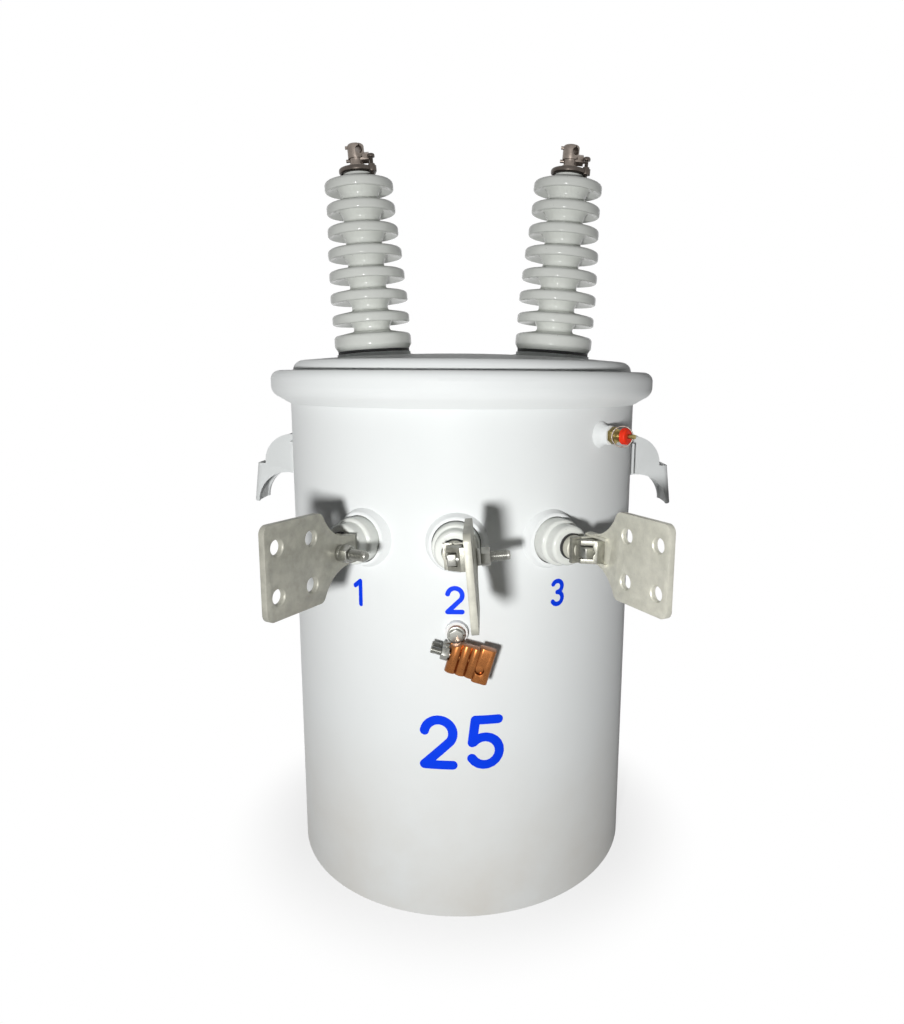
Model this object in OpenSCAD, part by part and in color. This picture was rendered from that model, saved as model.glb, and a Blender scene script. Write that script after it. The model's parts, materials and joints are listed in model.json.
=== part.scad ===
// Single-phase pole-type transformer: a round sheet-steel tank with a domed, band-clamped cover,
// two shed bushings on the cover, three low-voltage bushings with four-hole spades on the wall,
// a pressure-relief valve, a ground connector, lifting lugs and pole hangers.
// The floor is z = 0, the tank's axis is the Z axis and the spades face -Y.

/* [Tank] */
// Outer radius of the tank wall
tank_r = 215; // [190:1:250]
// Height of the wall from the floor to the top of its rim ring
tank_h = 606; // [540:1:700]
// Thickness of the wall sheet
wall_t = 3; // [2:0.5:5]
// Thickness of the bottom plate
bottom_t = 4; // [3:0.5:8]
// Height of the bottom plate's underside above the floor
bottom_rise = 20; // [10:1:40]
// Width of the rim ring welded round the top of the wall
rim_w = 12; // [9:0.5:14]
// Height of the rim ring
rim_h = 8; // [6:0.5:10]

/* [Cover] */
// Thickness of the cover sheet
cover_t = 3; // [2:0.5:4]
// Distance of the raised part of the cover inside the tank's outer radius
cover_inset = 4; // [4:0.5:12]
// Radius of the rounded shoulder of the cover
shoulder_r = 12; // [9:0.5:14]
// Rise of the crown above the cover's flange
crown_h = 25; // [18:0.5:34]

/* [Cover band] */
// Play between the cover's edge and the band round it
band_play = 4.5; // [3:0.5:7]
// Thickness of the band sheet
band_t = 3; // [2:0.5:4]
// Rounding of the band's upper edge
band_top_round = 11; // [8:0.5:12]
// Rounding of the band's lower bulge
band_low_round = 14; // [10:0.5:16]
// Slope of the band's lower lip, in degrees
band_slope = 30; // [24:1:36]
// Width of the gap where the band's ends meet at the back
band_gap = 14; // [8:1:24]
// Radius of the band bolt
band_bolt_r = 5; // [4:0.5:6]

/* [High-voltage bushings] */
// Distance of each bushing's seat from the tank's axis, as a share of the tank's radius
hv_share = 0.528; // [0.46:0.002:0.56]
// Outward lean of the bushings, in degrees
hv_lean = 4.2; // [0:0.1:8]
// Height of the seats above the cover's flange
hv_seat_h = 25.5; // [24:0.5:32]
// Radius of a bushing's base
hv_base_r = 48.2; // [44:0.2:54]
// Height of a bushing's base
hv_base_h = 20; // [16:0.5:24]
// Distance between sheds
shed_pitch = 26.2; // [24:0.2:30]
// Height of a shed's rim
shed_rim = 12.5; // [10:0.5:14]
// Radius of the porcelain core
core_r = 22.5; // [20:0.5:26]
// Radius of the metal cap
hv_cap_r = 22.5; // [21:0.5:26]
// Height of the metal cap's rim
hv_cap_h = 6.5; // [6:0.5:10]
// Radius of the terminal's head
barrel_r = 10; // [9:0.25:11]
// Height of the terminal's head
barrel_h = 17; // [15:0.5:20]
// Radius of the wire hole through the head
wire_r = 4.5; // [3.5:0.25:5]
// Turn of the wire hole from the front, in degrees
wire_turn = 32; // [0:1:45]

/* [Low-voltage bushings] */
// Angle between neighbouring bushings round the tank, in degrees
lv_angle = 27.5; // [24:0.5:34]
// Distance of the bushings' axes below the top of the wall
lv_drop = 170; // [150:1:200]
// Radius of the raised collar at its top
collar_r = 29.5; // [28:0.5:34]
// Height of the raised collar above the wall
collar_h = 9; // [7:0.5:12]
// Radius of the porcelain's wide step
lv_wide_r = 24.7; // [23:0.1:26]
// Radius of the porcelain's narrow step
lv_narrow_r = 21; // [18:0.5:22]
// Distance of the porcelain's shoulder from the wall
lv_shoulder = 24; // [20:0.5:28]
// Distance of the porcelain's end face from the wall
lv_reach = 39; // [34:0.5:46]
// Radius of the stud
stud_r = 8; // [7:0.25:9]
// Radius of the stud's round collar
stud_collar_r = 12.3; // [11:0.1:13.5]

/* [Spades] */
// Distance of the pad's centre from the wall
pad_reach = 131.5; // [124:0.5:150]
// Spacing of the four pad holes
pad_spacing = 44.45; // [40:0.05:50]
// Radius of the pad holes
pad_hole_r = 7.15; // [6:0.05:8]
// Height of the pad
pad_h = 87; // [80:0.5:96]
// Distance of the outer holes from the pad's outer edge
pad_edge = 15; // [12:0.5:18]
// Thickness of the spade
spade_t = 6.4; // [5:0.1:8]
// Distance of the spade's near face from the stud's axis
spade_offset = 15.2; // [14:0.1:18]
// Height of the spade's neck
neck_h = 28.6; // [28:0.2:34]
// Radius of the curve between the pad and the neck
neck_curve_r = 42; // [36:0.5:46]
// Lean of the centre spade round its stud, in degrees
centre_lean = 5; // [0:0.5:8]
// Distance of the clamp bolt from the wall
clamp_bolt_reach = 68.5; // [67:0.5:74]
// Radius of the clamp bolt
clamp_bolt_r = 5.5; // [5:0.25:5.75]
// Length of the clamp bolt beyond the spade
clamp_bolt_tail = 32; // [24:0.5:40]

/* [Lifting lugs] */
// Distance of the top of each lug below the top of the wall
lug_drop = 73; // [60:1:110]
// Reach of each lug from the wall
lug_reach = 53; // [48:0.5:60]
// Width of each lug
lug_w = 50; // [44:1:60]
// Thickness of the lug plate
lug_t = 5; // [4:0.5:6]
// Height of each lug
lug_h = 86; // [80:1:92]

/* [Relief valve] */
// Angle of the valve round the tank, in degrees
valve_angle = 46.5; // [44:0.5:60]
// Distance of the valve's axis below the top of the wall
valve_drop = 62; // [60:1:90]
// Length of the coupling from the wall
coupling_l = 14; // [12:0.5:18]
// Radius of the coupling
coupling_r = 10.5; // [9.5:0.25:12]
// Radius of the cap
valve_cap_r = 9; // [8.5:0.1:9.5]
// Length of the cap
valve_cap_l = 7; // [6:0.5:9]
// Radius of the pull pin
pin_r = 2.5; // [2.25:0.05:2.75]
// Radius of the pull ring, to the middle of its wire
ring_r = 11; // [11:0.1:13]

/* [Ground connector] */
// Distance of the ground boss below the low-voltage bushings
ground_drop = 95; // [90:1:130]
// Radius of the ground boss
ground_boss_r = 12; // [11:0.5:14]
// Tilt of the connector round its bolt, in degrees
connector_tilt = 16; // [0:1:24]
// Height of the connector's body
connector_h = 32; // [26:0.5:32]

/* [Pole hangers] */
// Distance of the upper hanger's middle below the top of the wall
hanger_drop = 126; // [110:1:140]
// Distance between the two hangers' bolts
hanger_spacing = 285.75; // [280:0.25:300]
// Distance of a hanger's face from the wall
hanger_reach = 60; // [45:1:80]
// Width of a hanger
hanger_w = 90; // [80:1:110]
// Height of a hanger
hanger_h = 76; // [70:1:90]
// Thickness of the hanger plate
hanger_t = 6; // [5:0.5:8]
// Width of the bolt slot
slot_w = 17.5; // [16:0.5:20]

/* [Hidden] */
$fn = 96;
// Facets round the tank wall where parts are cut to sit on it
wall_fn = 720;

// Overrun of every cut past the face that it opens
over = 1;
// Gap between parts that seat on each other
seat_gap = 0.1;
// Gap between a hole and the pin or bolt in it
hole_gap = 0.4;
// Gap between the sliding pull pin and its cap
slide_gap = 0.08;

// Left, centre and right, as signs along X
LEFT = -1;
CENTRE = 0;
RIGHT = 1;

// Paint and metal colours
paint = [0.93, 0.94, 0.94];
porcelain = [0.84, 0.87, 0.84];
rubber = [0.06, 0.06, 0.06];
tin = [0.65, 0.64, 0.59];
bronze = [0.52, 0.47, 0.42];
steel = [0.66, 0.66, 0.64];
copper = [0.74, 0.43, 0.20];
brass = [0.62, 0.52, 0.28];
red = [0.92, 0.20, 0.12];

// Cover levels: underside and top of its flange, crown, and the circles of its dome and shoulder
cover_z = tank_h + seat_gap;
flange_top = cover_z + cover_t;
flange_r = tank_r + rim_w + cover_t;
cover_r = tank_r - cover_inset;
crown_z = flange_top + crown_h;
shoulder_z = flange_top + seat_gap + band_t;
shoulder_x = cover_r - shoulder_r;
shoulder_drop = crown_z - shoulder_z;
dome_r = (shoulder_x * shoulder_x + shoulder_drop * shoulder_drop - shoulder_r * shoulder_r)
    / (2 * (shoulder_drop - shoulder_r));
dome_z = crown_z - dome_r;
dome_fn = 720;
// Depth and rounding of the cover's turned-down edge round the rim ring
cover_skirt_h = 6;
cover_edge_round = 2.9;

// Band levels and its lower lip
band_top = flange_top + seat_gap + band_t;
band_r = flange_r + band_play + band_t;
band_lip_gap = 4.5;
band_lip_r = cover_r + band_lip_gap;
band_low_z = band_top - band_top_round - band_low_round / 2;
band_tangent = 90 - band_slope;
// Ears that carry the band bolt
ear_t = 5;
ear_l = 26;
ear_h = 26;
band_bolt_tail = 14;

// High-voltage bushing
hv_x = hv_share * tank_r;
hv_seat_z = flange_top + hv_seat_h;
hv_gasket_t = 3.5;
hv_gasket_inset = 3.5;
hv_gasket_r = hv_base_r - hv_gasket_inset;
hv_gasket_bore_r = 27;
hv_tail_r = 24;
hv_tail_l = 40;
seat_flare = 3.5;
seat_step = 4;
seat_skirt_h = 16;
seat_inset = 2;
seat_r = hv_base_r - seat_inset;
shed_d_shares = [1, 0.995, 0.97, 0.945, 0.9, 0.87, 0.865];
shed_round = 4.5;
lip_round = 2.5;
under_rise = 5.5;
shed_slope = 4;
flare_w = 5;
flare_h = 4;
first_gap = 12.5;
first_shed_z = hv_base_h + first_gap;
hv_base_round = 5;
hv_base_taper = 3.5;
hv_base_taper_h = 6;
core_top_z = first_shed_z + (len(shed_d_shares) - 1) * shed_pitch + shed_rim + shed_slope;
hv_neck_r = 18;
hv_neck_h = 5;
hv_top_z = core_top_z + hv_neck_h;

// High-voltage terminal
hv_skirt_t = 2.5;
hv_skirt_h = 3;
hv_cap_round = 2.5;
hv_collar_r = 10;
hv_collar_h = 4;
hv_stem_r = 8;
hv_stem_h = 11;
cap_ear_x = 19;
cap_ear_y = 9;
cap_ear_r = 5.5;
wire_rise = 9;
wire_z = hv_stem_h + wire_rise;
barrel_round = 3;
jaw_slot = 1.6;
jaw_slot_depth = barrel_h - hv_collar_h;
screw_r = 2.3;
screw_head_r = 4.5;
screw_head_h = 4.5;
screw_stand = 14;
screw_tail = 5;
jaw_bolt_r = 3.5;
jaw_bolt_drop = 8;
jaw_head_r = 6.6;
jaw_head_h = 5.5;
jaw_tail = 3;
nub_r = 2;
nub_reach = 2.5;
nub_z_shares = [-0.1, 0.8];

// Low-voltage bushing
lv_z = tank_h - lv_drop;
collar_flare = 4.5;
collar_base_r = collar_r + collar_flare;
collar_depth = 5;
collar_round = 2.5;
gasket_w = 0.9;
collar_bore_r = lv_wide_r + gasket_w;
lv_hole_gap = 1;
lv_hole_r = lv_narrow_r + lv_hole_gap;
lv_tail_l = 30;
lv_floor = 1.5;
lv_gasket_t = 2;
lv_wide_round = 3;
lv_narrow_round = 3.5;
lv_sleeve_drop = 4;
lv_sleeve_h = collar_h - lv_sleeve_drop;
stud_washer_r = 13.4;
stud_washer_t = 3;
stud_collar_l = 9;
stud_collar_round = 1.5;
stud_inner_l = 45;

// Spade and clamp, measured outward from the wall and sideways from the stud's axis
spade_play = 2;
curve_play = 9.4;
jaw_play = 6;
jaw_tip = 7.2;
block_inset = 4;
spade_start = lv_reach + stud_washer_t + spade_play;
spade_near = spade_offset;
spade_far = spade_offset + spade_t;
pad_out = pad_reach + pad_spacing / 2 + pad_edge;
pad_round = 8;
pad_in_round = 8;
pad_chamfer = 1.2;
curve_start = spade_start + curve_play;
curve_h = neck_h / 2 + neck_curve_r;
round_h = pad_h / 2 - pad_in_round;
round_reach = curve_start
    + sqrt(pow(neck_curve_r + pad_in_round, 2) - pow(curve_h - round_h, 2));
curve_share = neck_curve_r / (neck_curve_r + pad_in_round);
clamp_split = 1;
jaw_start = lv_reach + stud_washer_t + stud_collar_l + clamp_split;
stud_end = clamp_bolt_reach - clamp_bolt_r - jaw_play;
half_block_h = neck_h - block_inset;
jaw_end = clamp_bolt_reach + jaw_tip;
jaw_heel_l = 5;
hub_back = 10.5;
hub_h = 26;
jaw_arm_back = 6.5;
jaw_arm_front = 8.2;
jaw_lip = 6.4;
jaw_slope_l = 9.7;
jaw_h = 23;
jaw_recess = 9.7;
jaw_recess_l = 14.2;
jaw_recess_h = 14;
bolt_head_l = 11.5;
bolt_head_h = 11.5;
bolt_head_t = 9.5;
washer_r = 8.2;
washer_t = 4.2;
nut_r = 9.4;
nut_t = 9;
guide_w = 2.5;
guide_l = 34;
guide_h = 3.5;
guide_tip = 5;
guide_end = jaw_end + guide_tip;

// Lifting lug
lug_top = tank_h - lug_drop;
lug_top_r = 34;
lug_bow_r = 37.5;
lug_throat = 47;
lug_bow_offset = 8.8;
lug_web_h = 49;
lug_step = 17;
// Angle between a lug's outer face and the tank's axis, in degrees
lug_splay = 6.7;
lug_bend_r = 8;
lug_tip_r = 4;
foot_w = 14;
foot_t = 4;

// Relief valve
valve_z = tank_h - valve_drop;
coupling_flare = 4.5;
coupling_flare_l = 6;
hex_r = 9.6;
hex_l = 6;
valve_neck_r = 6.8;
cap_overlap = 3;
cap_gap_l = 9;
cap_start = coupling_l + hex_l + cap_gap_l;
cap_end = cap_start + valve_cap_l;
valve_neck_end = cap_start + cap_overlap;
cap_round = 2;
pin_tail = 7.5;
pin_end = cap_end + pin_tail;
pin_eye = pin_end - pin_r;
ring_wire_r = 0.8;
ring_fold = 35;

// Ground connector
ground_z = lv_z - ground_drop;
ground_boss_l = 8;
ground_bolt_r = 6;
ground_head_r = 8.2;
ground_head_t = 4;
ground_washer_r = 9.4;
ground_washer_t = 2.5;
tongue_t = 5;
tongue_r = 9;
connector_drop = 18.5;
connector_shift = 21.8;
connector_reach = 20;
rib_r = 6.2;
rib_step = 10;
rib_count = 3;
rib_z = 6.7;
ribs_x = -rib_step * rib_count / 2 - rib_r / 2;
ribs_end = ribs_x + rib_step * (rib_count - 1);
body_x = ribs_x - rib_r;
bar_h = 12;
bar_back = 11.5;
eye_x = ribs_end + rib_r / 2;
eye_w = 17;
eye_h = 37;
eye_depth = 13;
eye_round = 4;
eye_hole_r = 4.8;
eye_hole_in = 11.5;
eye_hole_drop = 5;
connector_bolt_r = 4;
connector_bolt_rise = 1.5;
connector_bolt_tail = 19;
connector_nut_r = 7.5;
connector_nut_t = 8;
// Turn of a hexagon from its corner to its flat, in degrees
hex_turn = 30;

// Pole hanger
hanger_bend_r = 10;
slot_rise = 14;
hanger_z = tank_h - hanger_drop;
hanger_z_low = hanger_z - hanger_spacing;

// Frame on the wall: x runs to the right as seen from outside, y runs up and z runs outward
module wall_frame(angle, z) {
    rotate([0, 0, angle]) translate([0, -tank_r, z]) rotate([90, 0, 0]) children();
}

// Keeps only what lies outside the tank wall
module outside_wall() {
    difference() {
        children();
        cylinder(r = tank_r + seat_gap, h = tank_h, $fn = wall_fn);
    }
}

// Frame on a high-voltage bushing's seat, z along the leaning bushing
module hv_frame(side) {
    translate([side * hv_x, 0, hv_seat_z]) rotate([0, side * hv_lean, 0]) children();
}

// Frame on a low-voltage bushing
module lv_frame(place) {
    wall_frame(place * lv_angle, lv_z) children();
}

// Frame of a spade, which leans round its stud on the centre bushing
module spade_frame(place) {
    lv_frame(place) rotate([0, 0, place == CENTRE ? centre_lean : 0]) children();
}

// Flat shape in the outward-upward plane, thick from x0 to x1
module upright(x0, x1) {
    translate([x1, 0, 0]) rotate([0, -90, 0]) linear_extrude(x1 - x0) children();
}

// Flat shape in the sideways-outward plane, thick from -h / 2 to h / 2 upward
module level(h) {
    translate([0, h / 2, 0]) rotate([90, 0, 0]) linear_extrude(h) children();
}

// Square with rounded corners, from its lower corner
module rounded(size, r) {
    translate([r, 0]) square([size[0] - 2 * r, size[1]]);
    translate([0, r]) square([size[0], size[1] - 2 * r]);
    for (x = [r, size[0] - r], y = [r, size[1] - r]) translate([x, y]) circle(r);
}

module collar_outside() {
    rotate_extrude() {
        polygon([[0, -collar_depth], [collar_base_r, -collar_depth],
                 [collar_r, collar_h - collar_round], [0, collar_h - collar_round]]);
        translate([0, collar_h - collar_round - over]) square([collar_r - collar_round, collar_round + over]);
        translate([collar_r - collar_round, collar_h - collar_round]) circle(collar_round);
    }
}

module collar_bore() {
    translate([0, 0, lv_floor]) cylinder(r = collar_bore_r, h = collar_h + over);
    translate([0, 0, -lv_tail_l]) cylinder(r = lv_hole_r, h = lv_tail_l + collar_h);
}

module tank_wall() {
    color(paint) difference() {
        union() {
            rotate_extrude() polygon([[tank_r - wall_t, 0], [tank_r, 0], [tank_r, tank_h - rim_h],
                                      [tank_r + rim_w, tank_h - rim_h], [tank_r + rim_w, tank_h],
                                      [tank_r - wall_t, tank_h]]);
            for (place = [LEFT, CENTRE, RIGHT]) difference() {
                lv_frame(place) collar_outside();
                cylinder(r = tank_r - wall_t, h = tank_h);
            }
        }
        for (place = [LEFT, CENTRE, RIGHT]) lv_frame(place) collar_bore();
    }
}

module tank_bottom() {
    color(paint) translate([0, 0, bottom_rise]) cylinder(r = tank_r - wall_t - seat_gap, h = bottom_t);
}

// Half section of the cover's raised part, drawn in by an inset
module cover_section(inset) {
    tangent_x = shoulder_x + (shoulder_r - inset) * shoulder_x / (dome_r - shoulder_r);
    intersection() {
        translate([0, dome_z]) circle(dome_r - inset, $fn = dome_fn);
        translate([0, cover_z]) square([tangent_x, crown_z - cover_z]);
    }
    intersection() {
        translate([shoulder_x, shoulder_z]) circle(shoulder_r - inset);
        translate([tangent_x, shoulder_z]) square([shoulder_r, shoulder_r]);
    }
    translate([tangent_x, cover_z]) square([cover_r - inset - tangent_x, shoulder_z - cover_z]);
}

module tank_cover() {
    color(paint) difference() {
        union() {
            rotate_extrude() {
                cover_section(0);
                translate([0, cover_z]) square([flange_r - cover_edge_round, cover_t]);
                translate([flange_r - cover_edge_round, flange_top - cover_edge_round]) intersection() {
                    circle(cover_edge_round);
                    square(cover_edge_round);
                }
                translate([flange_r - cover_edge_round, tank_h - cover_skirt_h])
                    square([cover_edge_round, flange_top - cover_edge_round - tank_h + cover_skirt_h]);
            }
            for (side = [LEFT, RIGHT]) hv_frame(side) translate([0, 0, -seat_skirt_h]) {
                cylinder(r = seat_r, h = seat_skirt_h);
                cylinder(r = seat_r + seat_flare, h = seat_skirt_h - seat_step);
            }
        }
        rotate_extrude() cover_section(cover_t);
        for (side = [LEFT, RIGHT]) hv_frame(side) translate([0, 0, -hv_tail_l])
            cylinder(r = hv_gasket_bore_r, h = hv_tail_l + over);
    }
}

// Half section of the band, drawn in by an inset; it runs inward to the radius given
module band_section(inset, inner_r) {
    top_x = band_r - band_top_round;
    top_z = band_top - band_top_round;
    low_x = band_r - band_low_round;
    low_r = band_low_round - inset;
    lip_x = low_x + low_r * cos(band_tangent);
    lip_z = band_low_z - low_r * sin(band_tangent);
    intersection() {
        translate([top_x, top_z]) circle(band_top_round - inset);
        translate([top_x, top_z]) square(band_top_round);
    }
    intersection() {
        translate([low_x, band_low_z]) circle(low_r);
        translate([low_x, band_low_z - band_low_round]) square(band_low_round);
    }
    translate([low_x, band_low_z]) square([low_r, top_z - band_low_z]);
    polygon([[inner_r, band_top - inset], [top_x, band_top - inset], [top_x, top_z], [low_x, band_low_z],
             [lip_x, lip_z], [inner_r, lip_z - (lip_x - inner_r) * tan(band_slope)]]);
}

module cover_band() {
    ear_x = band_gap / 2;
    color(paint) difference() {
        union() {
            difference() {
                rotate_extrude() difference() {
                    band_section(0, band_lip_r);
                    band_section(band_t, tank_r - wall_t);
                    square([tank_r + seat_gap, tank_h - rim_h]);
                }
                translate([-band_gap / 2, 0, 0]) cube([band_gap, band_r + over, band_top + over]);
            }
            for (side = [LEFT, RIGHT]) translate([side * (ear_x + ear_t / 2), band_r - band_t, band_low_z])
                rotate([0, 90, 0]) translate([0, 0, -ear_t / 2]) linear_extrude(ear_t)
                    translate([-ear_h / 2, 0]) rounded([ear_h, ear_l], band_bolt_r);
        }
        translate([-band_r, band_r + ear_l / 2, band_low_z]) rotate([0, 90, 0])
            cylinder(r = band_bolt_r + hole_gap, h = 2 * band_r);
    }
}

module hex(r, h) {
    cylinder(r = r, h = h, $fn = 6);
}

module band_bolt() {
    half = band_gap / 2 + ear_t + seat_gap;
    color(steel) translate([0, band_r + ear_l / 2, band_low_z]) rotate([0, 90, 0]) {
        translate([0, 0, -half]) cylinder(r = band_bolt_r, h = 2 * half + band_bolt_tail);
        translate([0, 0, -half - band_bolt_r]) hex(2 * band_bolt_r, band_bolt_r);
        translate([0, 0, half]) hex(2 * band_bolt_r, 1.5 * band_bolt_r);
    }
}

// Half section of one shed, its lower lip at height zero
module shed_section(r) {
    translate([r - shed_round, shed_rim - shed_round]) circle(shed_round);
    translate([r - lip_round, lip_round]) circle(lip_round);
    translate([r - shed_round, lip_round]) square([shed_round, shed_rim - shed_round - lip_round]);
    polygon([[0, -flare_h], [core_r, -flare_h], [core_r + flare_w, under_rise],
             [r - lip_round, 0], [r - lip_round, lip_round],
             [r - shed_round, shed_rim], [core_r, shed_rim + shed_slope], [0, shed_rim + shed_slope]]);
}

module hv_bushing(side) {
    color(porcelain) hv_frame(side) translate([0, 0, hv_gasket_t]) rotate_extrude() {
        translate([0, seat_gap - hv_tail_l]) square([hv_tail_r, hv_tail_l]);
        square([core_r, core_top_z]);
        square([hv_neck_r, hv_top_z]);
        polygon([[0, seat_gap], [hv_base_r - hv_base_taper, seat_gap], [hv_base_r, hv_base_taper_h],
                 [hv_base_r, hv_base_h - hv_base_round], [hv_base_r - hv_base_round, hv_base_h],
                 [core_r, hv_base_h + shed_slope], [0, hv_base_h + shed_slope]]);
        translate([hv_base_r - hv_base_round, hv_base_h - hv_base_round]) circle(hv_base_round);
        for (i = [0:len(shed_d_shares) - 1])
            translate([0, first_shed_z + i * shed_pitch]) shed_section(hv_base_r * shed_d_shares[i]);
    }
}

module hv_gasket(side) {
    color(rubber) hv_frame(side) translate([0, 0, seat_gap]) difference() {
        cylinder(r = hv_gasket_r, h = hv_gasket_t - seat_gap);
        translate([0, 0, -over]) cylinder(r = hv_gasket_bore_r, h = hv_gasket_t + 2 * over);
    }
}

// Frame on top of a high-voltage bushing
module terminal_frame(side) {
    hv_frame(side) translate([0, 0, hv_gasket_t + hv_top_z + seat_gap]) children();
}

module hv_cap(side) {
    color(bronze) terminal_frame(side) difference() {
        union() {
            rotate_extrude() {
                translate([0, hv_cap_round]) square([hv_cap_r, hv_cap_h - 2 * hv_cap_round]);
                square([hv_cap_r - hv_cap_round, hv_cap_h]);
                for (z = [hv_cap_round, hv_cap_h - hv_cap_round])
                    translate([hv_cap_r - hv_cap_round, z]) circle(hv_cap_round);
            }
            translate([cap_ear_x, -cap_ear_y, 0]) cylinder(r = cap_ear_r, h = hv_cap_h);
        }
        translate([0, 0, -over]) cylinder(r = hv_cap_r - hv_skirt_t, h = hv_skirt_h + over);
        translate([cap_ear_x, -cap_ear_y, -over])
            cylinder(r = screw_r + hole_gap / 2, h = hv_cap_h + 2 * over);
    }
}

module hv_terminal(side) {
    color(bronze) terminal_frame(side) translate([0, 0, hv_cap_h + seat_gap]) difference() {
        union() {
            rotate_extrude() {
                square([hv_collar_r, hv_collar_h]);
                square([hv_stem_r, hv_stem_h + barrel_round]);
                translate([0, hv_stem_h]) square([barrel_r, barrel_h - barrel_round]);
                translate([0, hv_stem_h]) square([barrel_r - barrel_round, barrel_h]);
                translate([barrel_r - barrel_round, hv_stem_h + barrel_h - barrel_round])
                    circle(barrel_round);
            }
            translate([0, 0, wire_z - jaw_bolt_drop]) rotate([0, 90, 0]) {
                cylinder(r = jaw_bolt_r, h = barrel_r + jaw_head_h + jaw_tail);
                hex(jaw_head_r, barrel_r + jaw_head_h);
            }
            for (z = nub_z_shares * barrel_h) translate([0, 0, hv_stem_h + z])
                rotate([0, -90, 0]) cylinder(r = nub_r, h = barrel_r + nub_reach);
        }
        translate([0, 0, wire_z]) rotate([90, 0, wire_turn]) translate([0, 0, -barrel_r - over])
            cylinder(r = wire_r, h = 2 * (barrel_r + over));
        rotate([0, 0, wire_turn]) translate([-jaw_slot / 2, -barrel_r - over, wire_z])
            cube([jaw_slot, 2 * (barrel_r + over), jaw_slot_depth]);
    }
}

module hv_clamp_screw(side) {
    color(steel) terminal_frame(side) translate([cap_ear_x, -cap_ear_y, -screw_tail]) {
        cylinder(r = screw_r, h = screw_tail + hv_cap_h + screw_stand);
        translate([0, 0, screw_tail + hv_cap_h + screw_stand - screw_head_h])
            cylinder(r = screw_head_r, h = screw_head_h);
        translate([0, 0, screw_tail + hv_cap_h + seat_gap]) hex(screw_head_r, screw_head_h / 2);
    }
}

module lv_bushing(place) {
    seat = lv_floor + lv_gasket_t + seat_gap;
    color(porcelain) lv_frame(place) rotate_extrude() difference() {
        union() {
            translate([0, -lv_tail_l]) square([lv_narrow_r, lv_tail_l + lv_reach - lv_narrow_round]);
            translate([0, seat]) square([lv_wide_r, lv_shoulder - lv_wide_round - seat]);
            square([lv_wide_r - lv_wide_round, lv_shoulder]);
            translate([lv_wide_r - lv_wide_round, lv_shoulder - lv_wide_round]) circle(lv_wide_round);
            square([lv_narrow_r - lv_narrow_round, lv_reach]);
            translate([lv_narrow_r - lv_narrow_round, lv_reach - lv_narrow_round]) circle(lv_narrow_round);
        }
        translate([0, -lv_tail_l - over]) square([stud_r + hole_gap, lv_tail_l + lv_reach + 2 * over]);
    }
}

module lv_gasket(place) {
    color(rubber) lv_frame(place) {
        rotate_extrude() {
            translate([lv_hole_r, lv_floor + seat_gap])
                square([collar_bore_r - seat_gap - lv_hole_r, lv_gasket_t - seat_gap]);
            translate([lv_wide_r + seat_gap, lv_floor + seat_gap])
                square([collar_bore_r - lv_wide_r - 2 * seat_gap, lv_sleeve_h - lv_floor]);
        }
        translate([0, 0, lv_reach + seat_gap]) difference() {
            cylinder(r = stud_washer_r, h = stud_washer_t);
            translate([0, 0, -over]) cylinder(r = stud_r + hole_gap, h = stud_washer_t + 2 * over);
        }
    }
}

module lv_stud(place) {
    collar_z = lv_reach + stud_washer_t + 2 * seat_gap;
    color(tin) lv_frame(place) rotate_extrude() {
        translate([0, -stud_inner_l]) square([stud_r, stud_inner_l + stud_end]);
        translate([0, collar_z]) square([stud_collar_r, stud_collar_l - stud_collar_round]);
        translate([0, collar_z]) square([stud_collar_r - stud_collar_round, stud_collar_l]);
        translate([stud_collar_r - stud_collar_round, collar_z + stud_collar_l - stud_collar_round])
            circle(stud_collar_round);
    }
}

// Outline of the spade: neck, curved shoulders and pad
module spade_outline() {
    neck = neck_h / 2;
    translate([spade_start, -neck]) square([round_reach - spade_start, neck_h]);
    translate([round_reach, -pad_h / 2]) square([pad_out - pad_round - round_reach, pad_h]);
    translate([round_reach, pad_round - pad_h / 2]) square([pad_out - round_reach, pad_h - 2 * pad_round]);
    for (up = [-1, 1]) {
        translate([pad_out - pad_round, up * (pad_h / 2 - pad_round)]) circle(pad_round);
        translate([round_reach, up * round_h]) circle(pad_in_round);
        difference() {
            polygon([[curve_start, up * neck],
                     [curve_start + curve_share * (round_reach - curve_start),
                      up * (curve_h + curve_share * (round_h - curve_h))],
                     [round_reach, up * round_h], [round_reach, up * neck]]);
            translate([curve_start, up * curve_h]) circle(neck_curve_r);
        }
    }
}

// Chamfered bolt hole through the spade, its axis sideways
module pad_hole() {
    rotate([0, 90, 0]) {
        translate([0, 0, spade_near - over]) cylinder(r = pad_hole_r, h = spade_t + 2 * over);
        translate([0, 0, spade_near - over])
            cylinder(r1 = pad_hole_r + pad_chamfer + over, r2 = pad_hole_r, h = pad_chamfer + over);
        translate([0, 0, spade_far - pad_chamfer])
            cylinder(r1 = pad_hole_r, r2 = pad_hole_r + pad_chamfer + over, h = pad_chamfer + over);
    }
}

module lv_spade(place) {
    color(tin) spade_frame(place) difference() {
        union() {
            upright(spade_near, spade_far) spade_outline();
            level(half_block_h) translate([clamp_split, jaw_start])
                square([spade_near - clamp_split + seat_gap, stud_end - jaw_start]);
            for (up = [-1, 1]) translate([0, up * (neck_h - guide_w) / 2, 0]) level(guide_w)
                translate([spade_near - guide_h, guide_end - guide_l])
                    square([guide_h + seat_gap, guide_l]);
        }
        translate([0, 0, jaw_start - over])
            cylinder(r = stud_r + hole_gap, h = stud_end - jaw_start + 2 * over);
        translate([spade_near - over, 0, clamp_bolt_reach]) rotate([0, 90, 0])
            cylinder(r = clamp_bolt_r + hole_gap, h = spade_t + 2 * over);
        for (z = [-1, 1], y = [-1, 1])
            translate([0, y * pad_spacing / 2, pad_reach + z * pad_spacing / 2]) pad_hole();
    }
}

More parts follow.
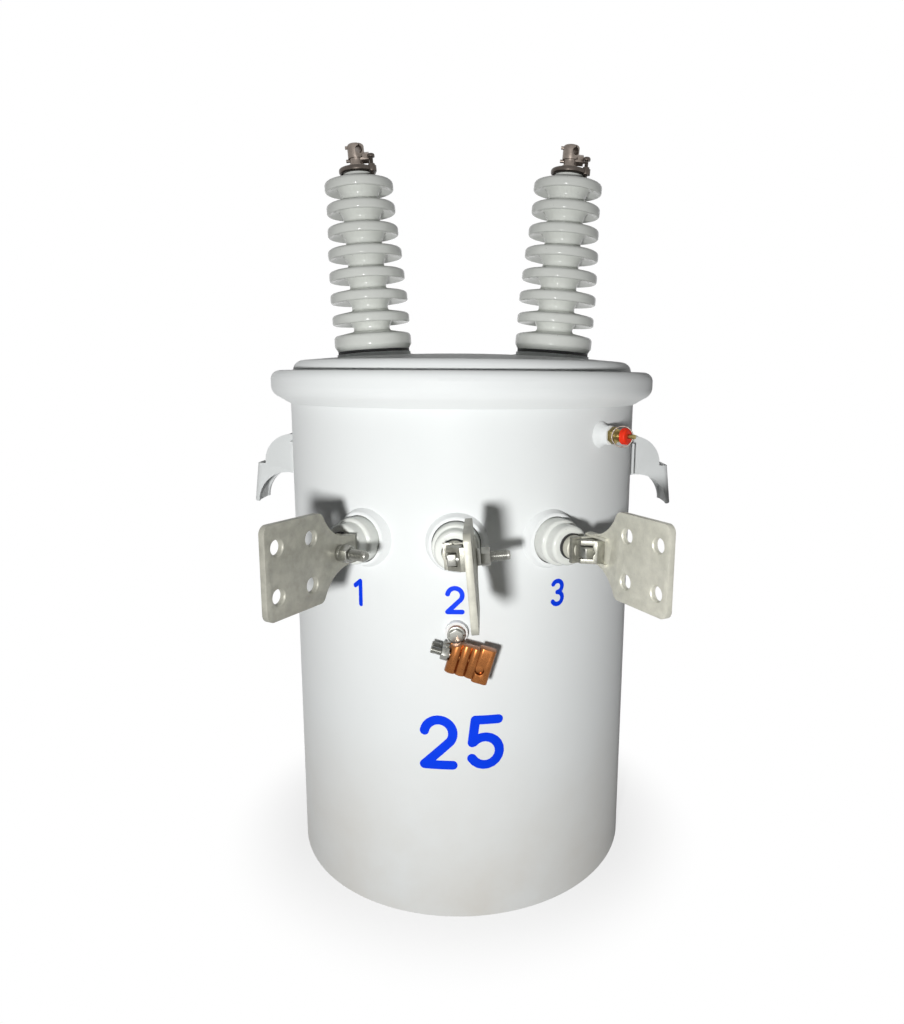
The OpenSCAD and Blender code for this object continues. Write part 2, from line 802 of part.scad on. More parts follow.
module lv_clamp(place) {
    heel = jaw_end - jaw_heel_l;
    color(tin) spade_frame(place) difference() {
        union() {
            level(hub_h) translate([-hub_back, jaw_start])
                square([hub_back - clamp_split, stud_end - jaw_start]);
            level(jaw_h) polygon([[-jaw_arm_back, jaw_start + over], [-jaw_arm_back, jaw_end - jaw_slope_l],
                                  [jaw_lip, jaw_end], [spade_near - seat_gap, jaw_end],
                                  [spade_near - seat_gap, heel], [jaw_arm_front, heel],
                                  [jaw_arm_front, stud_end + jaw_play], [-clamp_split, stud_end],
                                  [-clamp_split, jaw_start + over]]);
        }
        translate([0, 0, jaw_start - over])
            cylinder(r = stud_r + hole_gap, h = stud_end - jaw_start + 2 * over);
        translate([-hub_back, -jaw_recess_h / 2, jaw_end - jaw_recess_l])
            cube([hub_back - jaw_arm_back + jaw_recess, jaw_recess_h, jaw_recess_l + over]);
        translate([-hub_back, 0, clamp_bolt_reach]) rotate([0, 90, 0])
            cylinder(r = clamp_bolt_r + hole_gap, h = hub_back + spade_near);
    }
}

module lv_bolt(place) {
    head_x = jaw_recess - jaw_arm_back - seat_gap;
    nut_x = spade_far + seat_gap + washer_t;
    color(steel) spade_frame(place) translate([0, 0, clamp_bolt_reach]) rotate([0, 90, 0]) {
        translate([0, 0, head_x - over])
            cylinder(r = clamp_bolt_r, h = spade_far + clamp_bolt_tail - head_x + over);
        translate([-bolt_head_l / 2, -bolt_head_h / 2, head_x - bolt_head_t])
            cube([bolt_head_l, bolt_head_h, bolt_head_t]);
        translate([0, 0, spade_far + seat_gap]) cylinder(r = washer_r, h = washer_t);
        translate([0, 0, nut_x]) hex(nut_r, nut_t);
    }
}

// Side outline of a lifting lug: a hooked ear, its root at the wall and its tip pointing down
module lug_outline() {
    low = lug_top - lug_h;
    bow_x = tank_r + lug_bow_offset;
    arc_x = tank_r + lug_reach - lug_step - lug_top_r;
    difference() {
        union() {
            translate([tank_r - lug_t, lug_top - lug_throat])
                square([lug_t + lug_reach - lug_step, lug_throat - lug_top_r]);
            translate([arc_x, lug_top - lug_top_r]) circle(lug_top_r);
            translate([tank_r - lug_t, lug_top - lug_top_r]) square([arc_x - tank_r + lug_t, lug_top_r]);
            translate([tank_r, low + lug_tip_r]) square([lug_reach, lug_web_h - lug_tip_r]);
            translate([tank_r + lug_tip_r, low]) square([lug_reach - 2 * lug_tip_r, lug_web_h]);
            translate([tank_r + lug_reach - lug_tip_r, low + lug_tip_r]) circle(lug_tip_r);
        }
        translate([bow_x, low]) circle(lug_bow_r);
        translate([tank_r - lug_reach, low - lug_bow_r])
            square([lug_reach + lug_bow_offset, 2 * lug_bow_r]);
    }
}

module lifting_lug(side) {
    length = lug_reach + lug_bend_r;
    color(paint) outside_wall() rotate([0, 0, side > 0 ? 0 : 180]) {
        intersection() {
            translate([tank_r + lug_reach, 0, lug_top - lug_h]) rotate([0, -lug_splay, 0])
                translate([-2 * length, -lug_w / 2, -lug_h]) linear_extrude(3 * lug_h) difference() {
                    rounded([2 * length, lug_w], lug_bend_r);
                    translate([lug_t, lug_t])
                        rounded([2 * (length - lug_t), lug_w - 2 * lug_t], lug_bend_r - lug_t);
                }
            translate([0, lug_w, 0]) rotate([90, 0, 0]) linear_extrude(2 * lug_w) lug_outline();
        }
        for (up = [-1, 1]) intersection() {
            translate([0, 0, lug_top - lug_throat]) difference() {
                cylinder(r = tank_r + foot_t, h = lug_throat - lug_bend_r);
                translate([0, 0, -over]) cylinder(r = tank_r, h = lug_throat + over);
            }
            translate([0, up * (lug_w + foot_w) / 2 - (foot_w + lug_t) / 2, 0])
                cube([2 * tank_r, foot_w + lug_t, tank_h]);
        }
    }
}

module valve_frame() {
    wall_frame(valve_angle, valve_z) children();
}

module valve_coupling() {
    color(paint) outside_wall() valve_frame() {
        translate([0, 0, -coupling_flare_l]) cylinder(r = coupling_r, h = coupling_flare_l + coupling_l);
        translate([0, 0, -coupling_flare_l])
            cylinder(r1 = coupling_r + 2 * coupling_flare, r2 = coupling_r, h = 2 * coupling_flare_l);
    }
}

module valve_body() {
    color(brass) valve_frame() translate([0, 0, coupling_l + seat_gap]) difference() {
        union() {
            hex(hex_r, hex_l);
            cylinder(r = valve_neck_r, h = valve_neck_end - coupling_l - seat_gap);
        }
        translate([0, 0, hex_l]) cylinder(r = pin_r + slide_gap, h = valve_neck_end);
    }
}

module valve_cap() {
    color(red) valve_frame() rotate_extrude() difference() {
        union() {
            translate([0, cap_start]) square([valve_cap_r, valve_cap_l - cap_round]);
            translate([0, cap_start]) square([valve_cap_r - cap_round, valve_cap_l]);
            translate([valve_cap_r - cap_round, cap_end - cap_round]) circle(cap_round);
        }
        translate([0, cap_start - over]) square([valve_neck_r + seat_gap, over + cap_overlap + seat_gap]);
        translate([0, cap_start - over]) square([pin_r + slide_gap, valve_cap_l + 2 * over]);
    }
}

module valve_pin() {
    color(brass) valve_frame() difference() {
        translate([0, 0, coupling_l + hex_l + cap_overlap])
            cylinder(r = pin_r, h = pin_end - coupling_l - hex_l - cap_overlap);
        translate([0, -pin_r - over, pin_eye]) rotate([-90, 0, 0])
            cylinder(r = ring_wire_r + hole_gap, h = 2 * (pin_r + over));
    }
}

module valve_ring() {
    color(steel) valve_frame() translate([0, 0, pin_eye]) rotate([0, ring_fold, 0]) translate([0, 0, -ring_r])
        rotate([0, 90, 0]) rotate_extrude() translate([ring_r, 0]) circle(ring_wire_r, $fn = 24);
}

module ground_frame() {
    wall_frame(0, ground_z) children();
}

module ground_boss() {
    color(paint) outside_wall() ground_frame() translate([0, 0, -ground_boss_l])
        difference() {
            cylinder(r = ground_boss_r, h = 2 * ground_boss_l);
            cylinder(r = ground_bolt_r + hole_gap, h = 2 * ground_boss_l + over);
        }
}

module ground_bolt() {
    washer_z = ground_boss_l + tongue_t + 2 * seat_gap;
    color(steel) ground_frame() {
        translate([0, 0, seat_gap]) cylinder(r = ground_bolt_r, h = washer_z);
        translate([0, 0, washer_z]) cylinder(r = ground_washer_r, h = ground_washer_t);
        translate([0, 0, washer_z + ground_washer_t]) hex(ground_head_r, ground_head_t);
    }
}

// Frame on the middle of the connector's body, below the ground bolt
module connector_frame() {
    ground_frame() rotate([0, 0, -connector_tilt])
        translate([connector_shift, -connector_drop, connector_reach]) children();
}

module ground_connector() {
    tongue_x = connector_shift + body_x;
    color(copper) difference() {
        union() {
            connector_frame() {
                level(connector_h) translate([0, rib_z]) {
                    for (i = [0:rib_count - 1]) translate([ribs_x + i * rib_step, 0]) circle(rib_r);
                    translate([ribs_x, -rib_r]) square([ribs_end - ribs_x, 1.5 * rib_r]);
                }
                level(eye_h) translate([eye_x, rib_z + rib_r - eye_depth])
                    rounded([eye_w, eye_depth], eye_round);
                translate([0, connector_bolt_rise, 0]) level(bar_h) translate([body_x, -bar_back])
                    square([eye_x + eye_w / 2 - body_x, bar_back + rib_z]);
            }
            ground_frame() rotate([0, 0, -connector_tilt]) translate([0, 0, ground_boss_l + seat_gap]) {
                cylinder(r = tongue_r, h = tongue_t);
                translate([tongue_x, -connector_drop, 0])
                    cube([tongue_r - tongue_x, connector_drop, tongue_t]);
            }
        }
        ground_frame() cylinder(r = ground_bolt_r + hole_gap, h = 2 * connector_reach);
        connector_frame() translate([eye_x + eye_w - eye_hole_in, -eye_hole_drop, -eye_h])
            cylinder(r = eye_hole_r, h = 2 * eye_h);
        for (front = [-1, 1]) connector_frame()
            translate([-2 * connector_h, connector_bolt_rise, front * rib_z]) rotate([0, 90, 0])
                cylinder(r = connector_bolt_r + hole_gap / 2, h = 2 * connector_h + ribs_end);
    }
}

module ground_connector_bolts() {
    start_x = body_x - seat_gap;
    color(steel) connector_frame() for (front = [-1, 1])
        translate([start_x, connector_bolt_rise, front * rib_z]) rotate([0, 90, 0]) rotate([0, 0, hex_turn]) {
            translate([0, 0, -connector_bolt_tail])
                cylinder(r = connector_bolt_r, h = connector_bolt_tail + ribs_end - start_x - seat_gap);
            translate([0, 0, -connector_nut_t]) hex(connector_nut_r, connector_nut_t);
        }
}

// Pole hanger: a bent channel welded to the back of the tank, with a bolt slot open at its foot
module hanger_bracket(z) {
    length = hanger_reach + hanger_bend_r;
    face = tank_r + hanger_reach;
    low = z - hanger_h / 2;
    color(paint) outside_wall() difference() {
        translate([-hanger_w / 2, face - 2 * length, low]) linear_extrude(hanger_h) difference() {
            rounded([hanger_w, 2 * length], hanger_bend_r);
            translate([hanger_t, hanger_t])
                rounded([hanger_w - 2 * hanger_t, 2 * (length - hanger_t)], hanger_bend_r - hanger_t);
        }
        translate([0, face - 2 * hanger_t, z + slot_rise]) rotate([-90, 0, 0])
            cylinder(d = slot_w, h = 3 * hanger_t);
        translate([-slot_w / 2, face - 2 * hanger_t, low - over])
            cube([slot_w, 3 * hanger_t, hanger_h / 2 + slot_rise + over]);
        translate([-hanger_w, -tank_r, low - over]) cube([2 * hanger_w, tank_r, hanger_h + 2 * over]);
    }
}

tank_wall();
tank_bottom();
tank_cover();
cover_band();
band_bolt();
hv_bushing(LEFT);  // hv_bushing_left
hv_bushing(RIGHT);  // hv_bushing_right
hv_gasket(LEFT);  // hv_gasket_left
hv_gasket(RIGHT);  // hv_gasket_right
hv_cap(LEFT);  // hv_cap_left
hv_cap(RIGHT);  // hv_cap_right
hv_terminal(LEFT);  // hv_terminal_left
hv_terminal(RIGHT);  // hv_terminal_right
hv_clamp_screw(LEFT);  // hv_clamp_screw_left
hv_clamp_screw(RIGHT);  // hv_clamp_screw_right
lv_bushing(LEFT);  // lv_bushing_left
lv_bushing(CENTRE);  // lv_bushing_centre
lv_bushing(RIGHT);  // lv_bushing_right
lv_gasket(LEFT);  // lv_gasket_left
lv_gasket(CENTRE);  // lv_gasket_centre
lv_gasket(RIGHT);  // lv_gasket_right
lv_stud(LEFT);  // lv_stud_left
lv_stud(CENTRE);  // lv_stud_centre
lv_stud(RIGHT);  // lv_stud_right
lv_spade(LEFT);  // lv_spade_left
lv_spade(CENTRE);  // lv_spade_centre
lv_spade(RIGHT);  // lv_spade_right
lv_clamp(LEFT);  // lv_clamp_left
lv_clamp(CENTRE);  // lv_clamp_centre
lv_clamp(RIGHT);  // lv_clamp_right
lv_bolt(LEFT);  // lv_bolt_left
lv_bolt(CENTRE);  // lv_bolt_centre
lv_bolt(RIGHT);  // lv_bolt_right
lifting_lug(LEFT);  // lifting_lug_left
lifting_lug(RIGHT);  // lifting_lug_right
valve_coupling();
valve_body();
valve_cap();
valve_pin();
valve_ring();
ground_boss();
ground_bolt();
ground_connector();
ground_connector_bolts();
hanger_bracket(hanger_z);  // hanger_bracket_upper
hanger_bracket(hanger_z_low);  // hanger_bracket_lower
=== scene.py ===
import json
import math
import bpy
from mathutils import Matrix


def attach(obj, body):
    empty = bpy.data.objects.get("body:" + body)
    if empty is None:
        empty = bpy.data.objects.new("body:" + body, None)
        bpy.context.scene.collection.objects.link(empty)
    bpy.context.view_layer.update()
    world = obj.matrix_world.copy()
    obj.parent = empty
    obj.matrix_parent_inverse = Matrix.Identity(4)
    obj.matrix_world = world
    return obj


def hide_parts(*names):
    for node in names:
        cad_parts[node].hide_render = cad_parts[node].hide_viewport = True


bl_info = {
    "name": "Pole-type transformer",
    "version": (1, 0, 0),
    "blender": (4, 5, 0),
    "location": "View3D > Sidebar > Transformer",
    "description": "Finishes the packed transformer with porcelain, threads, rounded edges, numerals and materials",
    "category": "Object",
}

import bpy
from bpy.props import FloatProperty, FloatVectorProperty, PointerProperty, StringProperty
from mathutils import Matrix, Vector

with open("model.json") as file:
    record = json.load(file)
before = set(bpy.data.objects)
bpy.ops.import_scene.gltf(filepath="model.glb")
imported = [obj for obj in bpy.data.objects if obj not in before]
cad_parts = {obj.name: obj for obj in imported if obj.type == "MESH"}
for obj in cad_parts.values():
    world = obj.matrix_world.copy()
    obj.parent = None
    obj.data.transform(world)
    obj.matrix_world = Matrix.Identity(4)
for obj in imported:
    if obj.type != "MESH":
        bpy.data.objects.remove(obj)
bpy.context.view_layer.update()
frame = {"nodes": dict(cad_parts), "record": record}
NODES = frame["nodes"]
MM = 0.001
TRANSFORMER = "transformer"
SIDES = {"left": -1, "right": 1}
PLACES = {"left": -1, "centre": 0, "right": 1}
FINISHES = {}


class TransformerSizes(bpy.types.PropertyGroup):
    """Places and sizes shared with the CAD nodes, and sizes of the pieces made here"""

    tank_radius: FloatProperty(
        name="Tank radius", description="Outer radius of the tank wall", default=0.215, unit="LENGTH")
    hv_offset: FloatProperty(
        name="High-voltage offset", description="Distance of a high-voltage seat from the tank's axis",
        default=0.11352, unit="LENGTH")
    hv_seat: FloatProperty(
        name="High-voltage seat", description="Height of the high-voltage seats", default=0.6346, unit="LENGTH")
    hv_lean: FloatProperty(
        name="High-voltage lean", description="Outward lean of the high-voltage bushings",
        default=math.radians(4.2), subtype="ANGLE")
    lv_height: FloatProperty(
        name="Low-voltage height", description="Height of the low-voltage studs", default=0.436, unit="LENGTH")
    lv_angle: FloatProperty(
        name="Low-voltage angle", description="Angle between neighbouring low-voltage studs",
        default=math.radians(27.5), subtype="ANGLE")
    centre_lean: FloatProperty(
        name="Centre spade lean", description="Lean of the centre spade round its stud",
        default=math.radians(5), subtype="ANGLE")
    ground_drop: FloatProperty(
        name="Ground drop", description="Distance of the ground boss below the low-voltage studs", default=0.095,
        unit="LENGTH")
    connector_tilt: FloatProperty(
        name="Connector tilt", description="Tilt of the ground connector round its bolt",
        default=math.radians(16), subtype="ANGLE")
    valve_angle: FloatProperty(
        name="Valve angle", description="Angle of the relief valve round the tank",
        default=math.radians(46.5), subtype="ANGLE")
    valve_height: FloatProperty(
        name="Valve height", description="Height of the relief valve", default=0.544, unit="LENGTH")
    thread_pitch: FloatProperty(
        name="Thread pitch", description="Distance between the ridges of the bolt threads",
        default=0.00175, unit="LENGTH")
    edge_round: FloatProperty(
        name="Edge rounding", description="Rounding of cut metal edges", default=0.0006, unit="LENGTH")
    cast_round: FloatProperty(
        name="Casting rounding", description="Rounding of the clamp jaws' edges", default=0.0013, unit="LENGTH")
    numeral_height: FloatProperty(
        name="Terminal numeral height", description="Height of the numeral under each low-voltage stud",
        default=0.031, unit="LENGTH")
    number_height: FloatProperty(
        name="Tank number height", description="Height of the large number on the tank", default=0.063,
        unit="LENGTH")
    tank_number: StringProperty(
        name="Tank number", description="Plain number painted on the front of the tank", default="25")


class TransformerColours(bpy.types.PropertyGroup):
    """Base colours of the finishes"""

    tank: FloatVectorProperty(
        name="Tank paint", description="Gloss paint of the tank", subtype="COLOR", default=(0.86, 0.88, 0.875))
    porcelain: FloatVectorProperty(
        name="Porcelain", description="Glaze of the bushings", subtype="COLOR", default=(0.83, 0.85, 0.805))
    tin: FloatVectorProperty(
        name="Tinned metal", description="Spades and clamps", subtype="COLOR", default=(0.72, 0.71, 0.61))
    bronze: FloatVectorProperty(
        name="Bronze", description="Caps and terminals of the high-voltage bushings", subtype="COLOR",
        default=(0.125, 0.106, 0.092))
    steel: FloatVectorProperty(
        name="Plated steel", description="Bolts and nuts", subtype="COLOR", default=(0.35, 0.35, 0.32))
    copper: FloatVectorProperty(
        name="Copper", description="Ground connector", subtype="COLOR", default=(0.36, 0.135, 0.042))
    brass: FloatVectorProperty(
        name="Brass", description="Relief valve body", subtype="COLOR", default=(0.43, 0.335, 0.13))
    cap: FloatVectorProperty(
        name="Valve cap", description="Moulded cap of the relief valve", subtype="COLOR",
        default=(1.0, 0.042, 0.012))
    rubber: FloatVectorProperty(
        name="Rubber", description="Gaskets", subtype="COLOR", default=(0.022, 0.022, 0.023))
    numerals: FloatVectorProperty(
        name="Numeral paint", description="Paint of the numerals", subtype="COLOR", default=(0.0, 0.055, 0.95))


class TransformerStage(bpy.types.PropertyGroup):
    """Camera and light"""

    lens: FloatProperty(name="Lens", description="Focal length of the camera", default=25.97, unit="CAMERA")
    pitch: FloatProperty(
        name="Pitch", description="Downward tilt of the camera", default=math.radians(10.1), subtype="ANGLE")
    key: FloatProperty(
        name="Key light", description="Power of the lamp beside the camera", default=9.0, subtype="POWER")
    back: FloatProperty(
        name="Back light", description="Power of the soft lamp behind the object", default=4.5, subtype="POWER")
    fill: FloatProperty(name="Fill light", description="Strength of the light from all round", default=0.05)


def deselect():
    """Leaves object mode with nothing selected."""
    if bpy.context.object and bpy.context.object.mode != "OBJECT":
        bpy.ops.object.mode_set(mode="OBJECT")
    bpy.ops.object.select_all(action="DESELECT")


def take(obj):
    """Makes one object the only selected and active one."""
    deselect()
    obj.select_set(True)
    bpy.context.view_layer.objects.active = obj
    return obj


def edit_all(obj):
    """Opens an object in edit mode with its whole mesh selected."""
    take(obj)
    bpy.ops.object.mode_set(mode="EDIT")
    bpy.ops.mesh.select_mode(type="VERT")
    bpy.ops.mesh.select_all(action="SELECT")


def smooth(obj, degrees=35):
    """Shades an object smooth except at edges sharper than an angle."""
    take(obj)
    bpy.ops.object.shade_smooth_by_angle(angle=math.radians(degrees))


def apply_bevel(obj, width, segments=2, degrees=30):
    """Rounds every edge sharper than an angle."""
    take(obj)
    bevel = obj.modifiers.new("edge", "BEVEL")
    bevel.width = width
    bevel.segments = segments
    bevel.limit_method = "ANGLE"
    bevel.angle_limit = math.radians(degrees)
    bevel.miter_outer = "MITER_ARC"
    bpy.ops.object.modifier_apply(modifier=bevel.name)


def round_chosen(obj, width, segments, degrees, chosen):
    """Rounds the sharp edges whose two ends pass a test."""
    edit_all(obj)
    bpy.ops.mesh.select_all(action="DESELECT")
    bpy.ops.mesh.select_mode(type="EDGE")
    bpy.ops.mesh.edges_select_sharp(sharpness=math.radians(degrees))
    bpy.ops.object.mode_set(mode="OBJECT")
    points = [v.co for v in obj.data.vertices]
    for edge in obj.data.edges:
        edge.select = edge.select and all(chosen(points[i]) for i in edge.vertices)
    bpy.ops.object.mode_set(mode="EDIT")
    bpy.ops.mesh.bevel(offset=width, segments=segments, affect="EDGES", miter_outer="ARC", clamp_overlap=True)
    bpy.ops.object.mode_set(mode="OBJECT")


def settle(obj, place):
    """Puts an object in its place and moves the place into its mesh."""
    take(obj)
    obj.matrix_world = place
    bpy.ops.object.transform_apply(location=True, rotation=True, scale=True)


def join(name, objects):
    """Joins objects into one."""
    deselect()
    for obj in objects:
        obj.select_set(True)
    bpy.context.view_layer.objects.active = objects[0]
    if len(objects) > 1:
        bpy.ops.object.join()
    made = bpy.context.view_layer.objects.active
    made.name = name
    made.data.name = name
    return made


def copy_of(obj, name):
    """A copy of an object with its own mesh."""
    take(obj)
    bpy.ops.object.duplicate(linked=False)
    made = bpy.context.view_layer.objects.active
    made.name = name
    made.data.name = name
    return made


def finish(obj, material, nodes=(), body=TRANSFORMER):
    """Gives a piece its material and body, and hides the nodes it stands for."""
    obj.data.materials.clear()
    obj.data.materials.append(FINISHES[material])
    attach(obj, body)
    if nodes:
        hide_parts(*nodes)


def turned(name, section, steps=64):
    """Turns a half section, given as points of radius and height in millimetres, about the Z axis."""
    deselect()
    r, z = section[0]
    bpy.ops.mesh.primitive_plane_add(size=MM, location=(r * MM, 0, z * MM))
    obj = bpy.context.view_layer.objects.active
    obj.name = name
    bpy.ops.object.transform_apply(location=True, rotation=True, scale=True)
    edit_all(obj)
    bpy.ops.mesh.merge(type="CENTER")
    for r_next, z_next in section[1:]:
        step = ((r_next - r) * MM, 0, (z_next - z) * MM)
        bpy.ops.mesh.extrude_region_move(TRANSFORM_OT_translate={"value": step})
        r, z = r_next, z_next
    bpy.ops.mesh.select_all(action="SELECT")
    bpy.ops.mesh.spin(steps=steps, angle=2 * math.pi, center=(0, 0, 0), axis=(0, 0, 1))
    bpy.ops.mesh.select_all(action="SELECT")
    bpy.ops.mesh.remove_doubles(threshold=MM / 500)
    bpy.ops.mesh.normals_make_consistent(inside=False)
    bpy.ops.object.mode_set(mode="OBJECT")
    return obj


def section_of(corners, count=5):
    """Half section through corners, each given as radius, height and rounding in millimetres."""
    points = []
    for i, (r, z, size) in enumerate(corners):
        here = Vector((r, z))
        if not size:
            points.append((r, z))
            continue
        back = (Vector(corners[i - 1][:2]) - here).normalized()
        ahead = (Vector(corners[i + 1][:2]) - here).normalized()
        half = back.angle(ahead) / 2
        centre = here + (back + ahead).normalized() * (size / math.sin(half))
        first = here + back * (size / math.tan(half)) - centre
        last = here + ahead * (size / math.tan(half)) - centre
        turn = first.angle_signed(last)
        for k in range(count + 1):
            a = math.atan2(first.y, first.x) - turn * k / count
            points.append((centre.x + size * math.cos(a), centre.y + size * math.sin(a)))
    return points


def threaded(name, radius, start, end, pitch, chamfer=1.2, steps=32):
    """A bolt end with a ridged thread, from one height to another, in millimetres."""
    depth = 0.55 * pitch
    section = [(0, start), (radius - depth, start)]
    count = int((end - start - chamfer) / pitch)
    for i in range(count):
        foot = start + i * pitch
        section += [(radius - depth, foot + 0.12 * pitch), (radius, foot + 0.42 * pitch),
                    (radius, foot + 0.58 * pitch), (radius - depth, foot + 0.88 * pitch)]
    section += [(radius - depth, end - chamfer), (radius - depth - 0.7 * chamfer, end), (0, end)]
    return turned(name, section, steps)


def hexagon(name, radius, start, height, turn=0.0, chamfer=1.1):
    """A nut or bolt head with rounded upper and lower corners, in millimetres."""
    deselect()
    rise = 0.45 * chamfer
    bpy.ops.mesh.primitive_cylinder_add(
        vertices=6, radius=radius * MM, depth=(height - 2 * rise) * MM, location=(0, 0, (start + height / 2) * MM),
        rotation=(0, 0, turn))
    obj = bpy.context.view_layer.objects.active
    obj.name = name
    bpy.ops.object.transform_apply(location=True, rotation=True, scale=True)
    for level, lift in ((start + height - rise, 1), (start + rise, -1)):
        edit_all(obj)
        bpy.ops.mesh.select_all(action="DESELECT")
        bpy.ops.mesh.select_mode(type="FACE")
        bpy.ops.object.mode_set(mode="OBJECT")
        for face in obj.data.polygons:
            face.select = abs(face.center.z - level * MM) < MM / 100 and abs(face.normal.z) > 0.9
        bpy.ops.object.mode_set(mode="EDIT")
        bpy.ops.mesh.inset(thickness=chamfer * MM, depth=0)
        bpy.ops.transform.translate(value=(0, 0, lift * rise * MM))
        bpy.ops.object.mode_set(mode="OBJECT")
    apply_bevel(obj, 0.3 * MM, 2, 20)
    return obj


def lock_washer(name, inner, outer, start, height, gap=8):
    """A split spring washer, in millimetres, its gap in degrees."""
    middle, width = (inner + outer) / 2, outer - inner
    deselect()
    bpy.ops.mesh.primitive_plane_add(size=MM, location=(middle * MM, 0, (start + height / 2) * MM),
                                     rotation=(math.radians(90), 0, 0))
    obj = bpy.context.view_layer.objects.active
    obj.name = name
    obj.scale = (width, height, 1)
    bpy.ops.object.transform_apply(location=True, rotation=True, scale=True)
    edit_all(obj)
    bpy.ops.mesh.bevel(offset=0.16 * width * MM, segments=2, affect="VERTICES")
    bpy.ops.mesh.select_all(action="SELECT")
    bpy.ops.mesh.spin(steps=48, angle=math.radians(360 - gap), center=(0, 0, 0), axis=(0, 0, 1))
    bpy.ops.mesh.select_all(action="SELECT")
    bpy.ops.mesh.remove_doubles(threshold=MM / 500)
    bpy.ops.mesh.normals_make_consistent(inside=False)
    bpy.ops.object.mode_set(mode="OBJECT")
    return obj


def rounded_copy(node, name, width, segments=2, degrees=35, chosen=None):
    """A copy of a CAD node with its sharp edges rounded, or those of them whose ends pass a test."""
    obj = bpy.data.objects.new(name, NODES[node].data.copy())
    bpy.context.scene.collection.objects.link(obj)
    obj.data.name = name
    take(obj)
    bpy.ops.mesh.customdata_custom_splitnormals_clear()
    edit_all(obj)
    bpy.ops.mesh.remove_doubles(threshold=MM / 500)
    bpy.ops.mesh.dissolve_limited(angle_limit=math.radians(0.5))
    bpy.ops.object.mode_set(mode="OBJECT")
    if chosen:
        round_chosen(obj, width, segments, degrees, chosen)
    else:
        apply_bevel(obj, width, segments, degrees)
    smooth(obj, degrees)
    return obj


def shift(x, y, z):
    """A move in millimetres."""
    return Matrix.Translation((x * MM, y * MM, z * MM))


def wall_frame(angle, height):
    """Frame on the tank wall: x to the right seen from outside, y up, z outward."""
    sizes = bpy.context.scene.transformer_sizes
    return (Matrix.Rotation(angle, 4, "Z") @ Matrix.Translation((0, -sizes.tank_radius, height))
            @ Matrix.Rotation(math.radians(90), 4, "X"))


def lv_frame(place):
    """Frame on the wall at a low-voltage stud."""
    sizes = bpy.context.scene.transformer_sizes
    return wall_frame(place * sizes.lv_angle, sizes.lv_height)


def spade_frame(place):
    """Frame of a stud turned with its spade."""
    sizes = bpy.context.scene.transformer_sizes
    return lv_frame(place) @ Matrix.Rotation(0 if place else sizes.centre_lean, 4, "Z")


def hv_frame(side):
    """Frame on a high-voltage seat, its z axis along the leaning bushing."""
    sizes = bpy.context.scene.transformer_sizes
    return (Matrix.Translation((side * sizes.hv_offset, 0, sizes.hv_seat))
            @ Matrix.Rotation(side * sizes.hv_lean, 4, "Y"))


SIDEWAYS = Matrix.Rotation(math.radians(90), 4, "Y")


def node_group(name, inputs, outputs):
    """An empty shader group with float inputs and outputs; returns its nodes, links, input and output."""
    tree = bpy.data.node_groups.new(name, "ShaderNodeTree")
    for label, value in inputs:
        tree.interface.new_socket(label, in_out="INPUT", socket_type="NodeSocketFloat").default_value = value
    for label in outputs:
        tree.interface.new_socket(label, in_out="OUTPUT", socket_type="NodeSocketFloat")
    return tree.nodes, tree.links, tree.nodes.new("NodeGroupInput"), tree.nodes.new("NodeGroupOutput")


def make_mottle_group():
    """Soft cloudy patches and a finer grain."""
    nodes, links, entry, out = node_group(
        "mottle", [("Patch Scale", 20.0), ("Contrast", 2.0), ("Grain Scale", 400.0)], ["Patches", "Grain"])
    place = nodes.new("ShaderNodeTexCoord")
    patches = nodes.new("ShaderNodeTexNoise")
    patches.inputs["Detail"].default_value = 5
    patches.inputs["Roughness"].default_value = 0.62
    grain = nodes.new("ShaderNodeTexNoise")
    grain.inputs["Detail"].default_value = 3
    spread = nodes.new("ShaderNodeMath")
    spread.operation = "MULTIPLY_ADD"
    spread.use_clamp = True
    shift = nodes.new("ShaderNodeMath")
    shift.operation = "MULTIPLY_ADD"
    shift.inputs[1].default_value = -0.5
    shift.inputs[2].default_value = 0.5
    links.new(place.outputs["Object"], patches.inputs["Vector"])
    links.new(place.outputs["Object"], grain.inputs["Vector"])
    links.new(entry.outputs["Patch Scale"], patches.inputs["Scale"])
    links.new(entry.outputs["Grain Scale"], grain.inputs["Scale"])
    links.new(entry.outputs["Contrast"], shift.inputs[0])
    links.new(patches.outputs["Fac"], spread.inputs[0])
    links.new(entry.outputs["Contrast"], spread.inputs[1])
    links.new(shift.outputs[0], spread.inputs[2])
    links.new(spread.outputs[0], out.inputs["Patches"])
    links.new(grain.outputs["Fac"], out.inputs["Grain"])


def make_speck_group():
    """Scattered small specks, such as pinholes in glaze or pits in a casting."""
    nodes, links, entry, out = node_group(
        "specks", [("Scale", 200.0), ("Size", 0.12), ("Share", 0.2)], ["Specks"])
    place = nodes.new("ShaderNodeTexCoord")
    cells = nodes.new("ShaderNodeTexVoronoi")
    chosen = nodes.new("ShaderNodeMath")
    chosen.operation = "LESS_THAN"
    inside = nodes.new("ShaderNodeMapRange")
    inside.inputs["To Min"].default_value = 1
    inside.inputs["To Max"].default_value = 0
    split = nodes.new("ShaderNodeSeparateColor")
    both = nodes.new("ShaderNodeMath")
    both.operation = "MULTIPLY"
    links.new(place.outputs["Object"], cells.inputs["Vector"])
    links.new(entry.outputs["Scale"], cells.inputs["Scale"])
    links.new(cells.outputs["Color"], split.inputs[0])
    links.new(split.outputs[0], chosen.inputs[0])
    links.new(entry.outputs["Share"], chosen.inputs[1])
    links.new(cells.outputs["Distance"], inside.inputs["Value"])
    links.new(entry.outputs["Size"], inside.inputs["From Max"])
    links.new(chosen.outputs[0], both.inputs[0])
    links.new(inside.outputs[0], both.inputs[1])
    links.new(both.outputs[0], out.inputs["Specks"])


